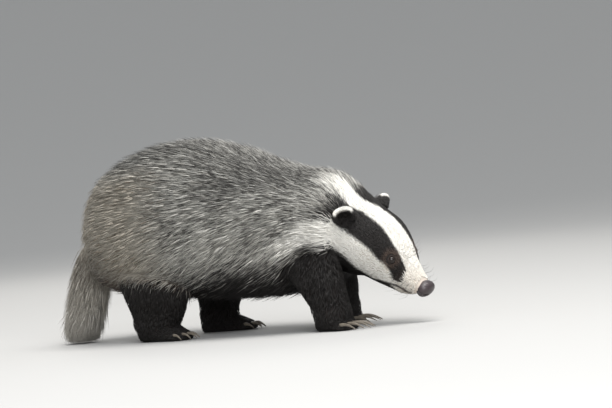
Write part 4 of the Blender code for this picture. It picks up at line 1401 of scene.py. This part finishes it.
# %% Shape the nose
bm = bmesh.new()
bmesh.ops.create_icosphere(bm, subdivisions=6, radius=1.0)
for v in bm.verts:
    x, y, z = v.co
    front = float(smoothstep(0.1, 0.9, x))
    x -= 0.10 * front * front
    groove = math.exp(-((y / 0.07) ** 2)) * float(smoothstep(0.35, -0.35, z)) * front
    x -= 0.10 * groove
    for side in (1, -1):
        u = (y - 0.44 * side) * side
        w = z + 0.10 + 0.35 * max(u, 0)
        hole = math.exp(-((u / 0.24) ** 2 + (w / 0.19) ** 2) ** 1.5)
        x -= 0.62 * hole * float(smoothstep(0.2, 0.7, x + 0.1))
        slit = math.exp(-((w / 0.09) ** 2)) * float(smoothstep(0.45, 0.75, abs(y))) * (y * side > 0)
        y -= 0.10 * slit * side
    v.co = Vector((x * NOSE_SIZE.x, y * NOSE_SIZE.y, z * NOSE_SIZE.z))
bmesh.ops.transform(bm, matrix=HEAD @ Matrix.Translation(NOSE_PLACE), verts=bm.verts)
nose = new_object("nose_pad", bm)
nose.data.shade_smooth()


def nose_material():
    made = plain_material("nose_leather", (0.035, 0.026, 0.028), 0.30)
    tree = made.node_tree
    cells = texture(tree, "Voronoi", 1500)
    cloud = texture(tree, "Noise", 220)
    colour = mixed(tree, (0.022, 0.017, 0.019), (0.075, 0.055, 0.058), cloud.outputs["Fac"])
    tree.links.new(colour, tree.nodes["Principled BSDF"].inputs["Base Color"])
    bumped(tree, cells.outputs["Distance"], 0.35, 0.0004)
    return made


# %% [markdown]
# ## Claws
# Five claws grow from each foot, long and only slightly curved on the front feet, short on the
# hind ones. Each is a row of oval circles, bridged and closed at the tip.

# %% Make the claws
CLAW_RADIUS = 0.0026
CLAW_TIP_HEIGHT = 0.0012
CLAW_RINGS = 12
CLAW_SIDES = 14

bm = bmesh.new()
for name in LEGS:
    ground, foot = foot_frame(name)
    for start, end, size in toe_places(foot):
        forward = Vector((end.x - start.x, end.y - start.y, 0)).normalized()
        tilt = Vector((-forward.y, forward.x, 0))
        base = end + forward * (size * 0.10) + Vector((0, 0, size * 0.28))
        drop = base.z - CLAW_TIP_HEIGHT - CLAW_RADIUS * 0.3
        rings = []
        for k in range(CLAW_RINGS):
            t = k / (CLAW_RINGS - 1)
            middle = base + forward * (foot["claw"] * (t * 1.08 - 0.08))
            middle.z += 0.0022 * math.sin(math.pi * t) - drop * t**1.7
            radius = CLAW_RADIUS * (1.0 - 0.88 * t) ** 0.8
            slope = Vector((forward.x, forward.y, -1.7 * drop / foot["claw"] * t**0.7)).normalized()
            up = tilt.cross(slope) * -1
            ring = ring_points(middle, up * radius, tilt * (radius * 0.72), CLAW_SIDES)
            rings.append([ground @ p for p in ring])
        bridged(bm, rings)
claws = new_object("claws", bm)
claws.data.shade_smooth()


def claw_material():
    made = plain_material("claw_horn", (0.20, 0.17, 0.13), 0.36)
    tree = made.node_tree
    streak = texture(tree, "Noise", 300)
    colour = mixed(tree, (0.07, 0.058, 0.046), (0.25, 0.215, 0.17), streak.outputs["Fac"])
    tree.links.new(colour, tree.nodes["Principled BSDF"].inputs["Base Color"])
    return made


# %% [markdown]
# ## Whiskers
# Stiff dark whiskers stand out from the upper lip, a few more over the eyes. They are thin
# tapering rods that bend back.

# %% Make the whiskers
WHISKER_RADIUS = 0.00022
WHISKER_RINGS = 6

draw = np.random.default_rng(40)
bm = bmesh.new()
spots = []
for side in SIDES.values():
    for row in range(3):
        for k in range(5):
            x = 0.116 - 0.006 * k + draw.uniform(-0.001, 0.001)
            spots.append((x, side, -0.008 - 0.0035 * row, 0.026 + 0.010 * draw.random()))
    for k in range(4):
        spots.append((0.070 + 0.004 * k, side, 0.016, 0.020 + 0.006 * draw.random()))
for x, side, z, long in spots:
    hit, normal, _, _ = surface.ray_cast(
        HEAD @ Vector((x, 0.001 * side, z if z < 0 else 0.0)),
        HEAD_TURN @ Vector((0, side, 0 if z < 0 else 0.9)),
    )
    out = (normal + HEAD_TURN @ Vector((0.35, 0.2 * side, -0.1))).normalized()
    bend = HEAD_TURN @ Vector((-1.0, 0.0, -0.25))
    rings = []
    for k in range(WHISKER_RINGS):
        t = k / (WHISKER_RINGS - 1)
        middle = hit + out * (long * t) + bend * (long * 0.55 * t * t) - normal * 0.001 * (1 - t)
        radius = WHISKER_RADIUS * (1 - 0.9 * t)
        way = (out + bend * (1.1 * t)).normalized()
        side_way = way.orthogonal().normalized()
        up = way.cross(side_way)
        rings.append(ring_points(middle, side_way * radius, up * radius, 5))
    bridged(bm, rings)
whiskers = new_object("whiskers", bm)
whiskers.data.shade_smooth()

# %% [markdown]
# ## Finish
# Every piece is moved to where the imported model stands, gets its finish, and rides
# on the model's one body. The skin stands for all the nodes of flesh.

# %% Place, finish and attach the pieces
FLESH = ["torso", "neck", "tail", "head", "ear_left", "ear_right"]
FLESH += [f"{part}_{name}" for part in ("leg", "paw") for name in LEGS]

finished = [(skin, "grizzled_coat"), *coats]
finished += [(eye, "eye") for eye, _ in eyes]
finished += [(lid, "face_fur") for lid in lids]
finished += [(nose, "nose_leather"), (claws, "claw_horn"), (whiskers, "face_fur")]
for eye, _ in eyes:
    eye.data.materials.append(eye_finish)
for lid in lids:
    lid.data.materials.append(lid_finish)
nose.data.materials.append(nose_material())
claws.data.materials.append(claw_material())
whiskers.data.materials.append(plain_material("whisker", (0.03, 0.026, 0.024), 0.4))
for thing, slot in finished:
    thing.data.transform(Matrix.Translation(MOVED))
    thing.data.update()
    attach(thing, "root")
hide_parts(*FLESH)
for eye, word in eyes:
    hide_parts(f"eye_{word}")
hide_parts("nose")
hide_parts(*(f"claw_{name}_{k}" for name in LEGS for k in range(1, TOES + 1)))

# %% Record the sizes and finish
total = 0
for thing, _ in finished:
    total += sum(len(face.vertices) - 2 for face in thing.data.polygons)
print("triangles in all:", total)
